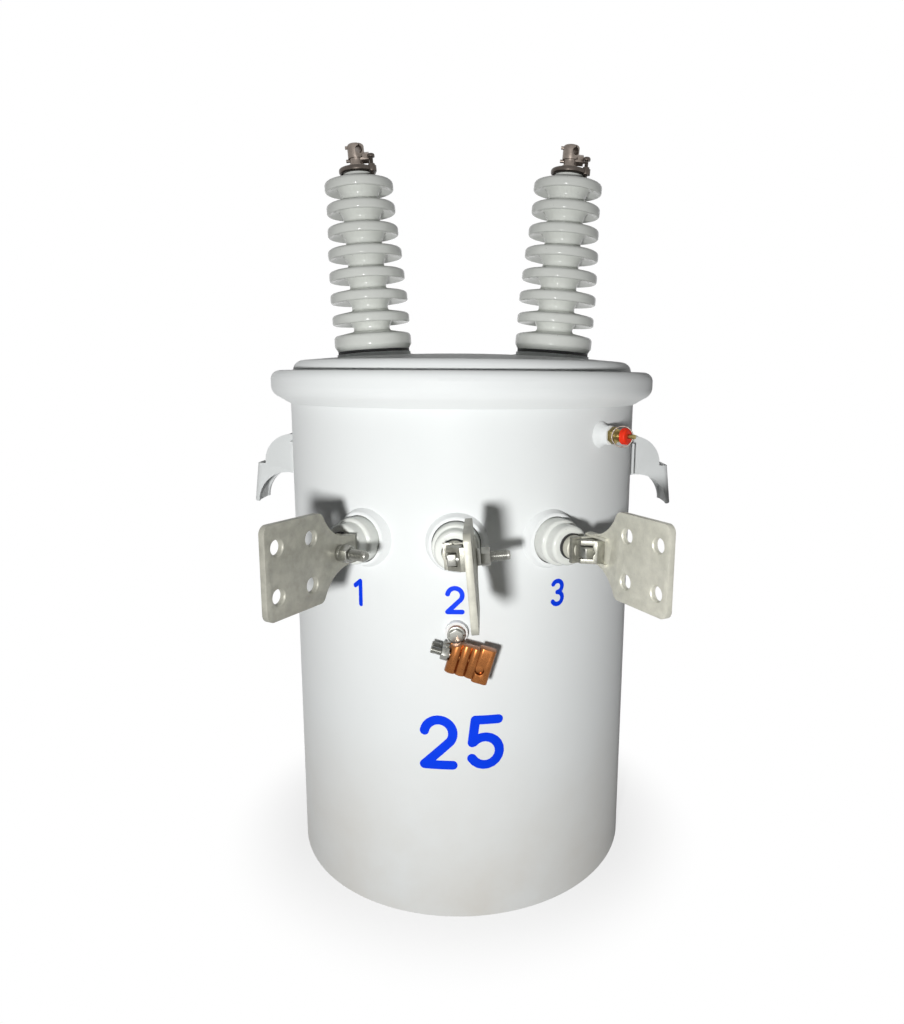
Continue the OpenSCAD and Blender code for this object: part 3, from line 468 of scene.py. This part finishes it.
class Finish:
    """A material with a mottled base, built node by node."""

    def __init__(self, name, light, dark, rough, metallic=0.0, specular=0.5, patch=20.0, contrast=2.0, grain=400.0,
                 bump=0.1, depth=0.0001):
        self.material = bpy.data.materials.new("finish_" + name)
        FINISHES[name] = self.material
        self.material.use_nodes = True
        self.nodes = self.material.node_tree.nodes
        self.links = self.material.node_tree.links
        self.shader = self.nodes["Principled BSDF"]
        self.shader.inputs["Metallic"].default_value = metallic
        self.shader.inputs["Specular IOR Level"].default_value = specular
        self.mottle = self.group("mottle", {"Patch Scale": patch, "Contrast": contrast, "Grain Scale": grain})
        self.colour = self.mix(self.mottle.outputs["Patches"], light, dark)
        self.links.new(self.colour, self.shader.inputs["Base Color"])
        self.rough = self.ramp(self.mottle.outputs["Grain"], 0.3, 0.7, rough[0], rough[1])
        self.links.new(self.rough, self.shader.inputs["Roughness"])
        self.bump = self.nodes.new("ShaderNodeBump")
        self.bump.inputs["Strength"].default_value = bump
        self.bump.inputs["Distance"].default_value = depth
        self.links.new(self.mottle.outputs["Grain"], self.bump.inputs["Height"])
        self.links.new(self.bump.outputs["Normal"], self.shader.inputs["Normal"])

    def group(self, name, values):
        node = self.nodes.new("ShaderNodeGroup")
        node.node_tree = bpy.data.node_groups[name]
        for label, value in values.items():
            node.inputs[label].default_value = value
        return node

    def mix(self, mask, first, second):
        node = self.nodes.new("ShaderNodeMix")
        node.data_type = "RGBA"
        self.links.new(mask, node.inputs[0])
        for socket, colour in ((node.inputs[6], first), (node.inputs[7], second)):
            if isinstance(colour, bpy.types.NodeSocket):
                self.links.new(colour, socket)
            else:
                socket.default_value = (*colour, 1)
        return node.outputs[2]

    def ramp(self, value, low, high, first, second):
        node = self.nodes.new("ShaderNodeMapRange")
        self.links.new(value, node.inputs["Value"])
        for label, number in (("From Min", low), ("From Max", high), ("To Min", first), ("To Max", second)):
            node.inputs[label].default_value = number
        return node.outputs[0]

    def math(self, operation, first, second):
        node = self.nodes.new("ShaderNodeMath")
        node.operation = operation
        for socket, value in zip(node.inputs, (first, second)):
            if isinstance(value, bpy.types.NodeSocket):
                self.links.new(value, socket)
            else:
                socket.default_value = value
        return node.outputs[0]

    def axis(self, index):
        """Object coordinate along X, Y or Z."""
        place = self.nodes.new("ShaderNodeTexCoord")
        split = self.nodes.new("ShaderNodeSeparateXYZ")
        self.links.new(place.outputs["Object"], split.inputs[0])
        return split.outputs[index]

    def tint(self, mask, colour):
        """Lays a colour over the base where the mask is high."""
        self.colour = self.mix(mask, self.colour, colour)
        self.links.new(self.colour, self.shader.inputs["Base Color"])

    def speckle(self, scale, size, share, amount, colour):
        """Lays a colour over the base in scattered specks."""
        specks = self.group("specks", {"Scale": scale, "Size": size, "Share": share})
        self.tint(self.math("MULTIPLY", specks.outputs["Specks"], amount), colour)


def shade(colour, factor):
    """A colour made lighter or darker."""
    return tuple(min(1, c * factor) for c in colour)


class TRANSFORMER_OT_materials(bpy.types.Operator):
    """Makes the finishes and gives them to the CAD nodes"""

    bl_idname = "transformer.materials"
    bl_label = "Finishes"

    def execute(self, context):
        colours = context.scene.transformer_colours
        make_mottle_group()
        make_speck_group()
        paint = Finish("tank_paint", colours.tank, shade(colours.tank, 0.975), (0.42, 0.55), specular=0.12, patch=9,
                       contrast=1.6, grain=900, bump=0.05, depth=0.00006)
        paint.shader.inputs["Diffuse Roughness"].default_value = 0.45
        # Tint that grows warmer and darker, in patches, towards the bottom of the tank.
        lower_tint = paint.ramp(paint.axis(2), 0.0, 0.22, 0.5, 0.0)
        paint.tint(paint.math("MULTIPLY", lower_tint, paint.mottle.outputs["Patches"]), (0.70, 0.63, 0.53))
        glaze = Finish("porcelain", colours.porcelain, shade(colours.porcelain, 0.93), (0.10, 0.18), specular=0.25,
                       patch=38, contrast=1.8, grain=350, bump=0.05, depth=0.0001)
        glaze.speckle(260, 0.16, 0.05, 1, (0.34, 0.32, 0.28))
        self.tinned("tinned_metal", colours.tin, 0.80, 110)
        # Darker copy of the tinned metal with small stains: partly painted shade, for the left and centre spades
        # that look darker under the light.
        self.tinned("shaded_stained_tin", shade(colours.tin, 0.60), 0.70, 90)
        cast = Finish("cast_tin", shade(colours.tin, 0.44), shade(colours.tin, 0.24), (0.30, 0.48), metallic=0.6,
                      patch=160, contrast=2.2, grain=900, bump=0.35, depth=0.0003)
        cast.speckle(700, 0.3, 0.3, 0.45, shade(colours.tin, 0.22))
        self.bronze("terminal_bronze", colours.bronze)
        self.bronze("bright_bronze", shade(colours.bronze, 2.4))
        Finish("bolt_steel", colours.steel, shade(colours.steel, 0.72), (0.24, 0.40), metallic=0.9, patch=150,
               contrast=1.8, grain=1500, bump=0.12, depth=0.0001)
        copper = Finish("copper", colours.copper, shade(colours.copper, 0.55), (0.22, 0.38), metallic=0.95,
                        patch=90, contrast=2.2, grain=1300, bump=0.15, depth=0.0001)
        copper.speckle(300, 0.4, 0.18, 0.4, (0.14, 0.055, 0.022))
        Finish("valve_brass", colours.brass, shade(colours.brass, 0.6), (0.22, 0.36), metallic=0.95, patch=160,
               contrast=1.8, grain=1500, bump=0.1, depth=0.0001)
        Finish("red_cap", colours.cap, shade(colours.cap, 0.84), (0.38, 0.50), specular=0.2, patch=120,
               contrast=1.5, grain=1800, bump=0.08, depth=0.00008)
        Finish("gasket_rubber", colours.rubber, shade(colours.rubber, 1.8), (0.55, 0.75), specular=0.3, patch=80,
               contrast=1.6, grain=1200, bump=0.25, depth=0.0001)
        Finish("numeral_paint", colours.numerals, shade(colours.numerals, 0.88), (0.35, 0.48), specular=0.15,
               patch=70, contrast=1.6, grain=900, bump=0.05, depth=0.00006)
        for part in frame["record"]["subparts"]:
            mesh = NODES[part["node"]].data
            mesh.materials.clear()
            mesh.materials.append(FINISHES[part["material_slot"]])
        NODES["valve_ring"].data.materials[0] = FINISHES["bright_bronze"]
        return {"FINISHED"}

    def bronze(self, name, colour):
        """Cast bronze with darker tarnish."""
        cast = Finish(name, colour, shade(colour, 0.55), (0.28, 0.48), metallic=0.9, patch=140, contrast=2.2,
                      grain=1100, bump=0.25, depth=0.0002)
        cast.speckle(500, 0.35, 0.25, 0.5, shade(colour, 0.55))

    def tinned(self, name, colour, dark, patch):
        """Dull tinned plate with small dark stains."""
        tin = Finish(name, colour, shade(colour, dark), (0.36, 0.55), metallic=0.35, specular=0.35, patch=patch,
                     contrast=2.4, grain=1400, bump=0.22, depth=0.00012)
        tin.speckle(420, 0.3, 0.22, 0.4, shade(colour, 0.55))


def porcelain_section():
    """Half section of a high-voltage bushing's porcelain, in millimetres."""
    base, core, pitch, first = 48.2, 22.5, 26.2, 32.5
    corners = [(0, -39.9, 0), (24, -39.9, 0), (24, 0.1, 0), (base - 3.5, 0.1, 0.6), (base, 6, 4), (base, 19.1, 5),
               (core, 24, 3.5)]
    for i, share in enumerate((1, 0.995, 0.97, 0.945, 0.9, 0.87, 0.865)):
        r, foot = base * share, first + i * pitch
        corners += [(core, foot - 4, 5), (core + 5, foot + 5.5, 2.5), (r, foot - 0.7, 2.4), (r, foot + 11.6, 4.5),
                    (core, foot + 16.5, 3)]
    top = first + 6 * pitch + 16.5
    corners[-1] = (core, top, 0.8)
    corners += [(18, top, 0.6), (18, top + 5, 0.6), (0, top + 5, 0)]
    return section_of(corners)


class TRANSFORMER_OT_hv_bushings(bpy.types.Operator):
    """Turns the porcelain of the high-voltage bushings and finishes their caps and terminals"""

    bl_idname = "transformer.hv_bushings"
    bl_label = "High-voltage bushings"

    def execute(self, context):
        sizes = context.scene.transformer_sizes
        gasket, terminal = 3.5, 214.8
        body = turned("hv_porcelain", porcelain_section(), 96)
        smooth(body, 50)
        post = threaded("clamp_post", 2.3, -5, 16.2, 0.8, 0.5, 24)
        head = turned("clamp_head", section_of([(0, 16, 0), (4.5, 16, 0.6), (4.5, 20.5, 2.2), (0, 20.5, 0)]), 24)
        nut = hexagon("clamp_nut", 4.5, 6.6, 2.25, 0, 0.5)
        screw = join("clamp_screw", [post, head, nut])
        smooth(screw, 30)
        for name, side in SIDES.items():
            made = copy_of(body, "hv_porcelain_" + name)
            settle(made, hv_frame(side) @ shift(0, 0, gasket))
            finish(made, "porcelain", ["hv_bushing_" + name])
            made = copy_of(screw, "hv_clamp_screw_threaded_" + name)
            settle(made, hv_frame(side) @ shift(19, -9, terminal))
            finish(made, "terminal_bronze", ["hv_clamp_screw_" + name])
            for part, look in (("hv_cap_", "terminal_bronze"), ("hv_terminal_", "bright_bronze")):
                made = rounded_copy(part + name, part + "rounded_" + name, sizes.edge_round)
                finish(made, look, [part + name])
        for pattern in (body, screw):
            bpy.data.objects.remove(pattern)
        return {"FINISHED"}


class TRANSFORMER_OT_lv_bushings(bpy.types.Operator):
    """Turns the porcelain of the low-voltage bushings and rounds their studs"""

    bl_idname = "transformer.lv_bushings"
    bl_label = "Low-voltage bushings"

    def execute(self, context):
        body = turned("lv_porcelain", section_of([
            (8.4, -30, 0), (21, -30, 0), (21, 3.6, 0), (24.7, 3.6, 0.5), (24.7, 24, 3), (21, 24, 1.5),
            (21, 39, 3.5), (8.4, 39, 1.2), (8.4, -30, 0)]), 96)
        smooth(body, 50)
        stud = turned("lv_stud", section_of([
            (0, -45, 0), (8, -45, 1), (8, 42.2, 0), (12.3, 42.2, 0.4), (12.3, 51.2, 1.5), (8, 51.2, 0.4),
            (8, 57, 0.6), (0, 57, 0)]), 64)
        smooth(stud, 40)
        for name, place in PLACES.items():
            made = copy_of(body, "lv_porcelain_" + name)
            settle(made, lv_frame(place))
            finish(made, "porcelain", ["lv_bushing_" + name])
            made = copy_of(stud, "lv_stud_turned_" + name)
            settle(made, lv_frame(place))
            finish(made, "tinned_metal", ["lv_stud_" + name])
        for pattern in (body, stud):
            bpy.data.objects.remove(pattern)
        return {"FINISHED"}


class TRANSFORMER_OT_spades(bpy.types.Operator):
    """Rounds the spades and clamp jaws and makes their threaded bolts"""

    bl_idname = "transformer.spades"
    bl_label = "Spades and clamps"

    def execute(self, context):
        sizes = context.scene.transformer_sizes
        pitch = sizes.thread_pitch / MM
        far, bolt, radius = 21.6, 68.5, 5.5
        nut_at = far + 4.3
        shank_end = nut_at + 4
        shank = turned("bolt_shank", [(0, 2.1), (radius, 2.1), (radius, shank_end), (0, shank_end)], 32)
        thread = threaded("bolt_thread", radius, shank_end, far + 32, pitch)
        washer = lock_washer("bolt_washer", 5.6, 8.2, far + 0.1, 4.2)
        nut = hexagon("bolt_nut", 9.4, nut_at, 9.0)
        deselect()
        bpy.ops.mesh.primitive_cube_add(size=1, location=(0, 0, -1.65 * MM), scale=(11.5 * MM, 11.5 * MM, 9.5 * MM))
        head = bpy.context.view_layer.objects.active
        bpy.ops.object.transform_apply(location=True, rotation=True, scale=True)
        apply_bevel(head, 1.2 * MM, 3)
        pattern = join("clamp_bolt", [shank, thread, washer, nut, head])
        smooth(pattern, 30)
        for name, place in PLACES.items():
            made = copy_of(pattern, "lv_clamp_bolt_" + name)
            settle(made, spade_frame(place) @ shift(0, 0, bolt) @ SIDEWAYS)
            finish(made, "bolt_steel", ["lv_bolt_" + name])
            made = rounded_copy("lv_spade_" + name, "lv_spade_rounded_" + name, sizes.edge_round)
            # The left and centre spades take the darker tinned copy, which is partly painted shade.
            finish(made, "tinned_metal" if name == "right" else "shaded_stained_tin", ["lv_spade_" + name])
            made = rounded_copy("lv_clamp_" + name, "lv_clamp_rounded_" + name, sizes.cast_round, 3, 35,
                                self.outside_hole(spade_frame(place).inverted(), bolt * MM))
            finish(made, "cast_tin", ["lv_clamp_" + name])
        bpy.data.objects.remove(pattern)
        return {"FINISHED"}

    def outside_hole(self, into, bolt):
        """Test for the edges of a clamp jaw that aren't in its bolt or stud hole."""
        def chosen(point):
            local = into @ point
            return math.hypot(local.y, local.z - bolt) > 6.2 * MM and math.hypot(local.x, local.y) > 8.7 * MM
        return chosen


class TRANSFORMER_OT_ground(bpy.types.Operator):
    """Rounds the ground connector and makes its threaded bolts, bore plugs and the rod in its eye"""

    bl_idname = "transformer.ground"
    bl_label = "Ground connector"

    def execute(self, context):
        sizes = context.scene.transformer_sizes
        boss = wall_frame(0, sizes.lv_height - sizes.ground_drop)
        connector = boss @ Matrix.Rotation(-sizes.connector_tilt, 4, "Z") @ shift(21.8, -18.5, 20)
        made = rounded_copy("ground_connector", "ground_connector_rounded", sizes.edge_round)
        finish(made, "copper", ["ground_connector"])
        rod = turned("ground_eye_rod", section_of([(0, 1, 0), (4.7, 1, 0.4), (4.7, 9.6, 0.8), (0, 9.6, 0)]), 40)
        smooth(rod, 35)
        settle(rod, connector @ shift(10.5, -5, 0))
        finish(rod, "copper")
        pieces, plugs = [], []
        for depth in (-6.7, 6.7):
            bore = connector @ shift(-24.4, 1.5, depth) @ SIDEWAYS
            thread = threaded("ground_thread", 4, -19, -4, 1.25, 0.9)
            shank = turned("ground_shank", [(0, -4), (4, -4), (4, 1), (0, 1)], 32)
            nut = hexagon("ground_nut", 7.5, -8, 8, math.radians(30), 0.9)
            bolt = join("ground_bolt_part", [thread, shank, nut])
            smooth(bolt, 30)
            settle(bolt, bore)
            pieces.append(bolt)
            plug = turned("ground_plug", section_of(
                [(0, 1.1, 0), (4.1, 1.1, 0.3), (4.1, 26.2, 0.3), (0, 26.2, 0)]), 32)
            smooth(plug, 35)
            settle(plug, bore)
            plugs.append(plug)
        finish(join("ground_bore_plugs", plugs), "copper")
        made = join("ground_connector_bolts_threaded", pieces)
        finish(made, "bolt_steel", ["ground_connector_bolts"])
        shank = turned("boss_shank", [(0, 0.1), (6, 0.1), (6, 13.4), (0, 13.4)], 32)
        washer = lock_washer("boss_washer", 6.1, 9.4, 13.2, 2.5)
        head = hexagon("boss_head", 8.2, 15.7, 4, 0.0, 0.9)
        made = join("ground_bolt_finished", [shank, washer, head])
        smooth(made, 30)
        settle(made, boss)
        finish(made, "bolt_steel", ["ground_bolt"])
        return {"FINISHED"}


class TRANSFORMER_OT_relief_valve(bpy.types.Operator):
    """Makes the relief valve's brass body, moulded cap and pull pin"""

    bl_idname = "transformer.relief_valve"
    bl_label = "Relief valve"

    def execute(self, context):
        sizes = context.scene.transformer_sizes
        place = wall_frame(sizes.valve_angle, sizes.valve_height)
        made = rounded_copy("valve_coupling", "valve_coupling_rounded", 2 * sizes.edge_round, 3)
        finish(made, "tank_paint", ["valve_coupling"])
        flats = hexagon("valve_flats", 9.6, 14.1, 6, 0.0, 0.9)
        neck = [(0, 20, 0), (6.8, 20, 0), (6.8, 21.2, 0.3), (5.9, 21.7, 0.2)]
        for i in range(4):
            foot = 22.2 + 1.6 * i
            neck += [(5.9, foot, 0.15), (6.8, foot + 0.45, 0.2), (6.8, foot + 0.85, 0.2), (5.9, foot + 1.3, 0.15)]
        neck += [(5.9, 32, 0.3), (2.6, 32, 0), (2.6, 21, 0), (0, 21, 0)]
        body = join("valve_body_turned", [flats, turned("valve_neck", section_of(neck, 3), 48)])
        smooth(body, 30)
        settle(body, place)
        finish(body, "valve_brass", ["valve_body"])
        cap = turned("valve_cap_moulded", section_of(
            [(2.58, 32.1, 0), (6.9, 32.1, 0), (6.9, 29, 0.2), (9, 29, 0.7), (9, 30.6, 0.3), (8.6, 31, 0.3),
             (8.6, 31.4, 0.3), (9, 31.8, 0.3), (9, 36, 2), (2.58, 36, 0.4), (2.58, 32.1, 0)], 4), 64)
        smooth(cap, 40)
        settle(cap, place)
        finish(cap, "red_cap", ["valve_cap"])
        made = rounded_copy("valve_pin", "valve_pin_rounded", 0.6 * sizes.edge_round, 2)
        finish(made, "valve_brass", ["valve_pin"], "relief_pull")
        return {"FINISHED"}


class TRANSFORMER_OT_brackets(bpy.types.Operator):
    """Rounds the lifting lugs and pole hangers and makes the bolt that closes the cover band"""

    bl_idname = "transformer.brackets"
    bl_label = "Lugs and hangers"

    def execute(self, context):
        sizes = context.scene.transformer_sizes
        for node in ("lifting_lug_left", "lifting_lug_right", "hanger_bracket_upper", "hanger_bracket_lower"):
            made = rounded_copy(node, node + "_rounded", 1.2 * sizes.edge_round)
            finish(made, "tank_paint", [node])
        half = 12.1
        thread = threaded("band_thread", 5, half + 4, half + 14, 1.5, 1)
        shank = turned("band_shank", [(0, -half), (5, -half), (5, half + 4), (0, half + 4)], 32)
        head = hexagon("band_head", 10, -half - 5, 5)
        nut = hexagon("band_nut", 10, half, 7.5)
        made = join("band_bolt_threaded", [thread, shank, head, nut])
        smooth(made, 30)
        settle(made, shift(0, 250.5, 594.2) @ SIDEWAYS)
        finish(made, "bolt_steel", ["band_bolt"])
        return {"FINISHED"}


def arc(x, y, radius, first, last, count=16):
    """Points of an arc between two angles in degrees."""
    angles = [math.radians(first + (last - first) * i / count) for i in range(count + 1)]
    return [(x + radius * math.cos(a), y + radius * math.sin(a)) for a in angles]


def numeral_strokes(digit):
    """Width of a numeral one unit high and the paths of its strokes."""
    if digit == "1":
        return 0.30, [[(0.02, 0.78), (0.30, 1)], [(0.30, 1), (0.30, 0)]]
    if digit == "2":
        return 0.60, [arc(0.30, 0.70, 0.30, 170, -35) + [(0, 0)], [(0, 0), (0.60, 0)]]
    if digit == "3":
        return 0.54, [arc(0.28, 0.76, 0.24, 150, -90), arc(0.28, 0.26, 0.26, 90, -150)]
    if digit == "5":
        return 0.61, [[(0.58, 1), (0.10, 1)], [(0.10, 1), (0.04, 0.5)], arc(0.30, 0.31, 0.31, 140, -150)]
    raise ValueError("no strokes for the numeral " + digit)


class TRANSFORMER_OT_numerals(bpy.types.Operator):
    """Paints plain numerals with round-ended strokes on the front of the tank"""

    bl_idname = "transformer.numerals"
    bl_label = "Numerals"

    def execute(self, context):
        sizes = context.scene.transformer_sizes
        marks = [("numeral_left", "1", -30.4, 0.374, sizes.numeral_height),
                 ("numeral_centre", "2", -0.5, 0.3745, sizes.numeral_height),
                 ("numeral_right", "3", 30.2, 0.375, sizes.numeral_height),
                 ("tank_number", sizes.tank_number, 1.5, 0.213, sizes.number_height)]
        for name, text, angle, height, size in marks:
            width = 0.165 * size
            unit = size - width
            gap = 0.14 * size
            reach = sum(numeral_strokes(digit)[0] * unit + width + gap for digit in text) - gap
            start = -reach / 2 + width / 2
            pieces = []
            for digit in text:
                wide, paths = numeral_strokes(digit)
                for path in paths:
                    points = [Vector((start + x * unit, (y - 0.5) * unit)) for x, y in path]
                    pieces.append(self.stroke(points, width / 2))
                    self.wrap(pieces[-1], sizes.tank_radius + (0.12 + 0.02 * len(pieces)) * MM, angle, height)
                start += wide * unit + width + gap
            made = join(name, pieces)
            finish(made, "numeral_paint")
        return {"FINISHED"}

    def stroke(self, path, half):
        """A flat stroke with round ends along a path."""
        spine = [path[0]]
        for point in path[1:]:
            count = max(1, math.ceil((point - spine[-1]).length / (1.5 * MM)))
            spine += [spine[-1].lerp(point, (i + 1) / count) for i in range(count)]
        ribs = []
        for i, here in enumerate(spine):
            ahead = (spine[min(i + 1, len(spine) - 1)] - spine[max(i - 1, 0)]).normalized()
            ribs.append((here, ahead, half))
        first, last = ribs[0], ribs[-1]
        for k in range(1, 9):
            a = math.radians(11.25 * k)
            ribs.insert(0, (first[0] - first[1] * half * math.sin(a), first[1], half * math.cos(a)))
            ribs.append((last[0] + last[1] * half * math.sin(a), last[1], half * math.cos(a)))
        deselect()
        bpy.ops.mesh.primitive_grid_add(x_subdivisions=len(ribs) - 1, y_subdivisions=1, size=MM)
        obj = bpy.context.view_layer.objects.active
        for v in obj.data.vertices:
            row, column = divmod(v.index, len(ribs))
            here, ahead, reach = ribs[column]
            side = reach if row else -reach
            v.co = Vector((here.x - ahead.y * side, here.y + ahead.x * side, 0))
        edit_all(obj)
        bpy.ops.mesh.remove_doubles(threshold=MM / 500)
        bpy.ops.object.mode_set(mode="OBJECT")
        return obj

    def wrap(self, obj, radius, angle, height):
        """Lays a flat stroke on the tank wall as a thin coat of paint."""
        for v in obj.data.vertices:
            turn = v.co.x / radius + math.radians(angle)
            v.co = Vector((radius * math.sin(turn), -radius * math.cos(turn), height + v.co.y))
        take(obj)
        skin = obj.modifiers.new("paint", "SOLIDIFY")
        skin.thickness = 0.1 * MM
        bpy.ops.object.modifier_apply(modifier=skin.name)


class TRANSFORMER_OT_stage(bpy.types.Operator):
    """Makes the floor, light and camera"""

    bl_idname = "transformer.stage"
    bl_label = "Stage"

    def execute(self, context):
        stage = context.scene.transformer_stage
        scene = context.scene
        scene.view_settings.view_transform = "Standard"
        deselect()
        bpy.ops.mesh.primitive_circle_add(vertices=64, radius=6, fill_type="NGON", location=(0, 0, 0))
        floor = bpy.context.view_layer.objects.active
        floor.name = "floor"
        self.floor_material(floor)
        self.world(scene, stage.fill)
        self.lamp("key_light", (-0.131, -1.171, 0.502), (0, -0.2, 0.46), 0.09, stage.key)
        back = self.lamp("back_light", (0, 1.5, 0.9), (0, 0, 0.35), 0.6, stage.back)
        back.visible_glossy = False
        camera = bpy.data.objects.new("camera", bpy.data.cameras.new("camera"))
        scene.collection.objects.link(camera)
        scene.camera = camera
        camera.data.lens = stage.lens
        camera.data.shift_x = -0.032715
        camera.data.shift_y = -0.002734
        camera.data.clip_start = 0.01
        camera.location = (0.029697, -0.962434, 0.604970)
        camera.rotation_euler = (math.radians(90) - stage.pitch, 0, 0)
        camera.rotation_euler.rotate_axis("Z", math.radians(0.37))
        return {"FINISHED"}

    def lamp(self, name, place, target, size, power):
        """A round lamp aimed at a point."""
        light = bpy.data.lights.new(name, "AREA")
        light.shape = "DISK"
        light.size = size
        light.energy = power
        obj = bpy.data.objects.new(name, light)
        bpy.context.scene.collection.objects.link(obj)
        obj.location = place
        obj.rotation_euler = (Vector(target) - Vector(place)).to_track_quat("-Z", "Y").to_euler()
        return obj

    def seen(self, nodes, links):
        """One for rays from the camera, a mirror or glass."""
        path = nodes.new("ShaderNodeLightPath")
        value = path.outputs["Is Camera Ray"]
        for label in ("Is Glossy Ray", "Is Transmission Ray"):
            most = nodes.new("ShaderNodeMath")
            most.operation = "MAXIMUM"
            links.new(value, most.inputs[0])
            links.new(path.outputs[label], most.inputs[1])
            value = most.outputs[0]
        return value

    def world(self, scene, fill):
        """Soft light from all round, seen as white."""
        world = bpy.data.worlds.new("studio")
        scene.world = world
        world.use_nodes = True
        nodes, links = world.node_tree.nodes, world.node_tree.links
        light = nodes["Background"]
        light.inputs["Color"].default_value = (1, 1, 1, 1)
        light.inputs["Strength"].default_value = fill
        white = nodes.new("ShaderNodeBackground")
        white.inputs["Color"].default_value = (1, 1, 1, 1)
        white.inputs["Strength"].default_value = 1
        choose = nodes.new("ShaderNodeMixShader")
        links.new(self.seen(nodes, links), choose.inputs[0])
        links.new(light.outputs[0], choose.inputs[1])
        links.new(white.outputs[0], choose.inputs[2])
        links.new(choose.outputs[0], nodes["World Output"].inputs["Surface"])

    def floor_material(self, floor):
        """Pale floor with a faint shadow, plain white away from the object, that throws little light back."""
        material = bpy.data.materials.new("floor")
        material.use_nodes = True
        nodes, links = material.node_tree.nodes, material.node_tree.links
        pale = nodes["Principled BSDF"]
        pale.inputs["Base Color"].default_value = (0.9, 0.9, 0.9, 1)
        pale.inputs["Roughness"].default_value = 0.7
        white = nodes.new("ShaderNodeEmission")
        grey = nodes.new("ShaderNodeBsdfDiffuse")
        grey.inputs["Color"].default_value = (0.3, 0.3, 0.3, 1)
        place = nodes.new("ShaderNodeTexCoord")
        away = nodes.new("ShaderNodeVectorMath")
        away.operation = "LENGTH"
        far = nodes.new("ShaderNodeMapRange")
        far.interpolation_type = "SMOOTHSTEP"
        for label, value in (("From Min", 0.2), ("From Max", 0.33), ("To Min", 0.75), ("To Max", 1.0)):
            far.inputs[label].default_value = value
        shown = nodes.new("ShaderNodeMixShader")
        choose = nodes.new("ShaderNodeMixShader")
        links.new(place.outputs["Object"], away.inputs[0])
        links.new(away.outputs["Value"], far.inputs["Value"])
        links.new(far.outputs[0], shown.inputs[0])
        links.new(pale.outputs[0], shown.inputs[1])
        links.new(white.outputs[0], shown.inputs[2])
        links.new(self.seen(nodes, links), choose.inputs[0])
        links.new(grey.outputs[0], choose.inputs[1])
        links.new(shown.outputs[0], choose.inputs[2])
        links.new(choose.outputs[0], nodes["Material Output"].inputs["Surface"])
        floor.data.materials.append(material)


STEPS = (TRANSFORMER_OT_materials, TRANSFORMER_OT_hv_bushings, TRANSFORMER_OT_lv_bushings, TRANSFORMER_OT_spades,
         TRANSFORMER_OT_ground, TRANSFORMER_OT_relief_valve, TRANSFORMER_OT_brackets, TRANSFORMER_OT_numerals,
         TRANSFORMER_OT_stage)


class TRANSFORMER_PT_panel(bpy.types.Panel):
    """Lists the steps that finish the transformer"""

    bl_idname = "TRANSFORMER_PT_panel"
    bl_label = "Transformer"
    bl_space_type = "VIEW_3D"
    bl_region_type = "UI"
    bl_category = "Transformer"

    def draw(self, context):
        for step in STEPS:
            self.layout.operator(step.bl_idname)


GROUPS = (TransformerSizes, TransformerColours, TransformerStage)


def register():
    for cls in GROUPS + STEPS + (TRANSFORMER_PT_panel,):
        bpy.utils.register_class(cls)
    bpy.types.Scene.transformer_sizes = PointerProperty(type=TransformerSizes)
    bpy.types.Scene.transformer_colours = PointerProperty(type=TransformerColours)
    bpy.types.Scene.transformer_stage = PointerProperty(type=TransformerStage)


def unregister():
    del bpy.types.Scene.transformer_stage
    del bpy.types.Scene.transformer_colours
    del bpy.types.Scene.transformer_sizes
    for cls in reversed(GROUPS + STEPS + (TRANSFORMER_PT_panel,)):
        bpy.utils.unregister_class(cls)


def main():
    register()
    bpy.ops.transformer.materials()
    bpy.ops.transformer.hv_bushings()
    bpy.ops.transformer.lv_bushings()
    bpy.ops.transformer.spades()
    bpy.ops.transformer.ground()
    bpy.ops.transformer.relief_valve()
    bpy.ops.transformer.brackets()
    bpy.ops.transformer.numerals()
    bpy.ops.transformer.stage()


if __name__ == "__main__":
    main()
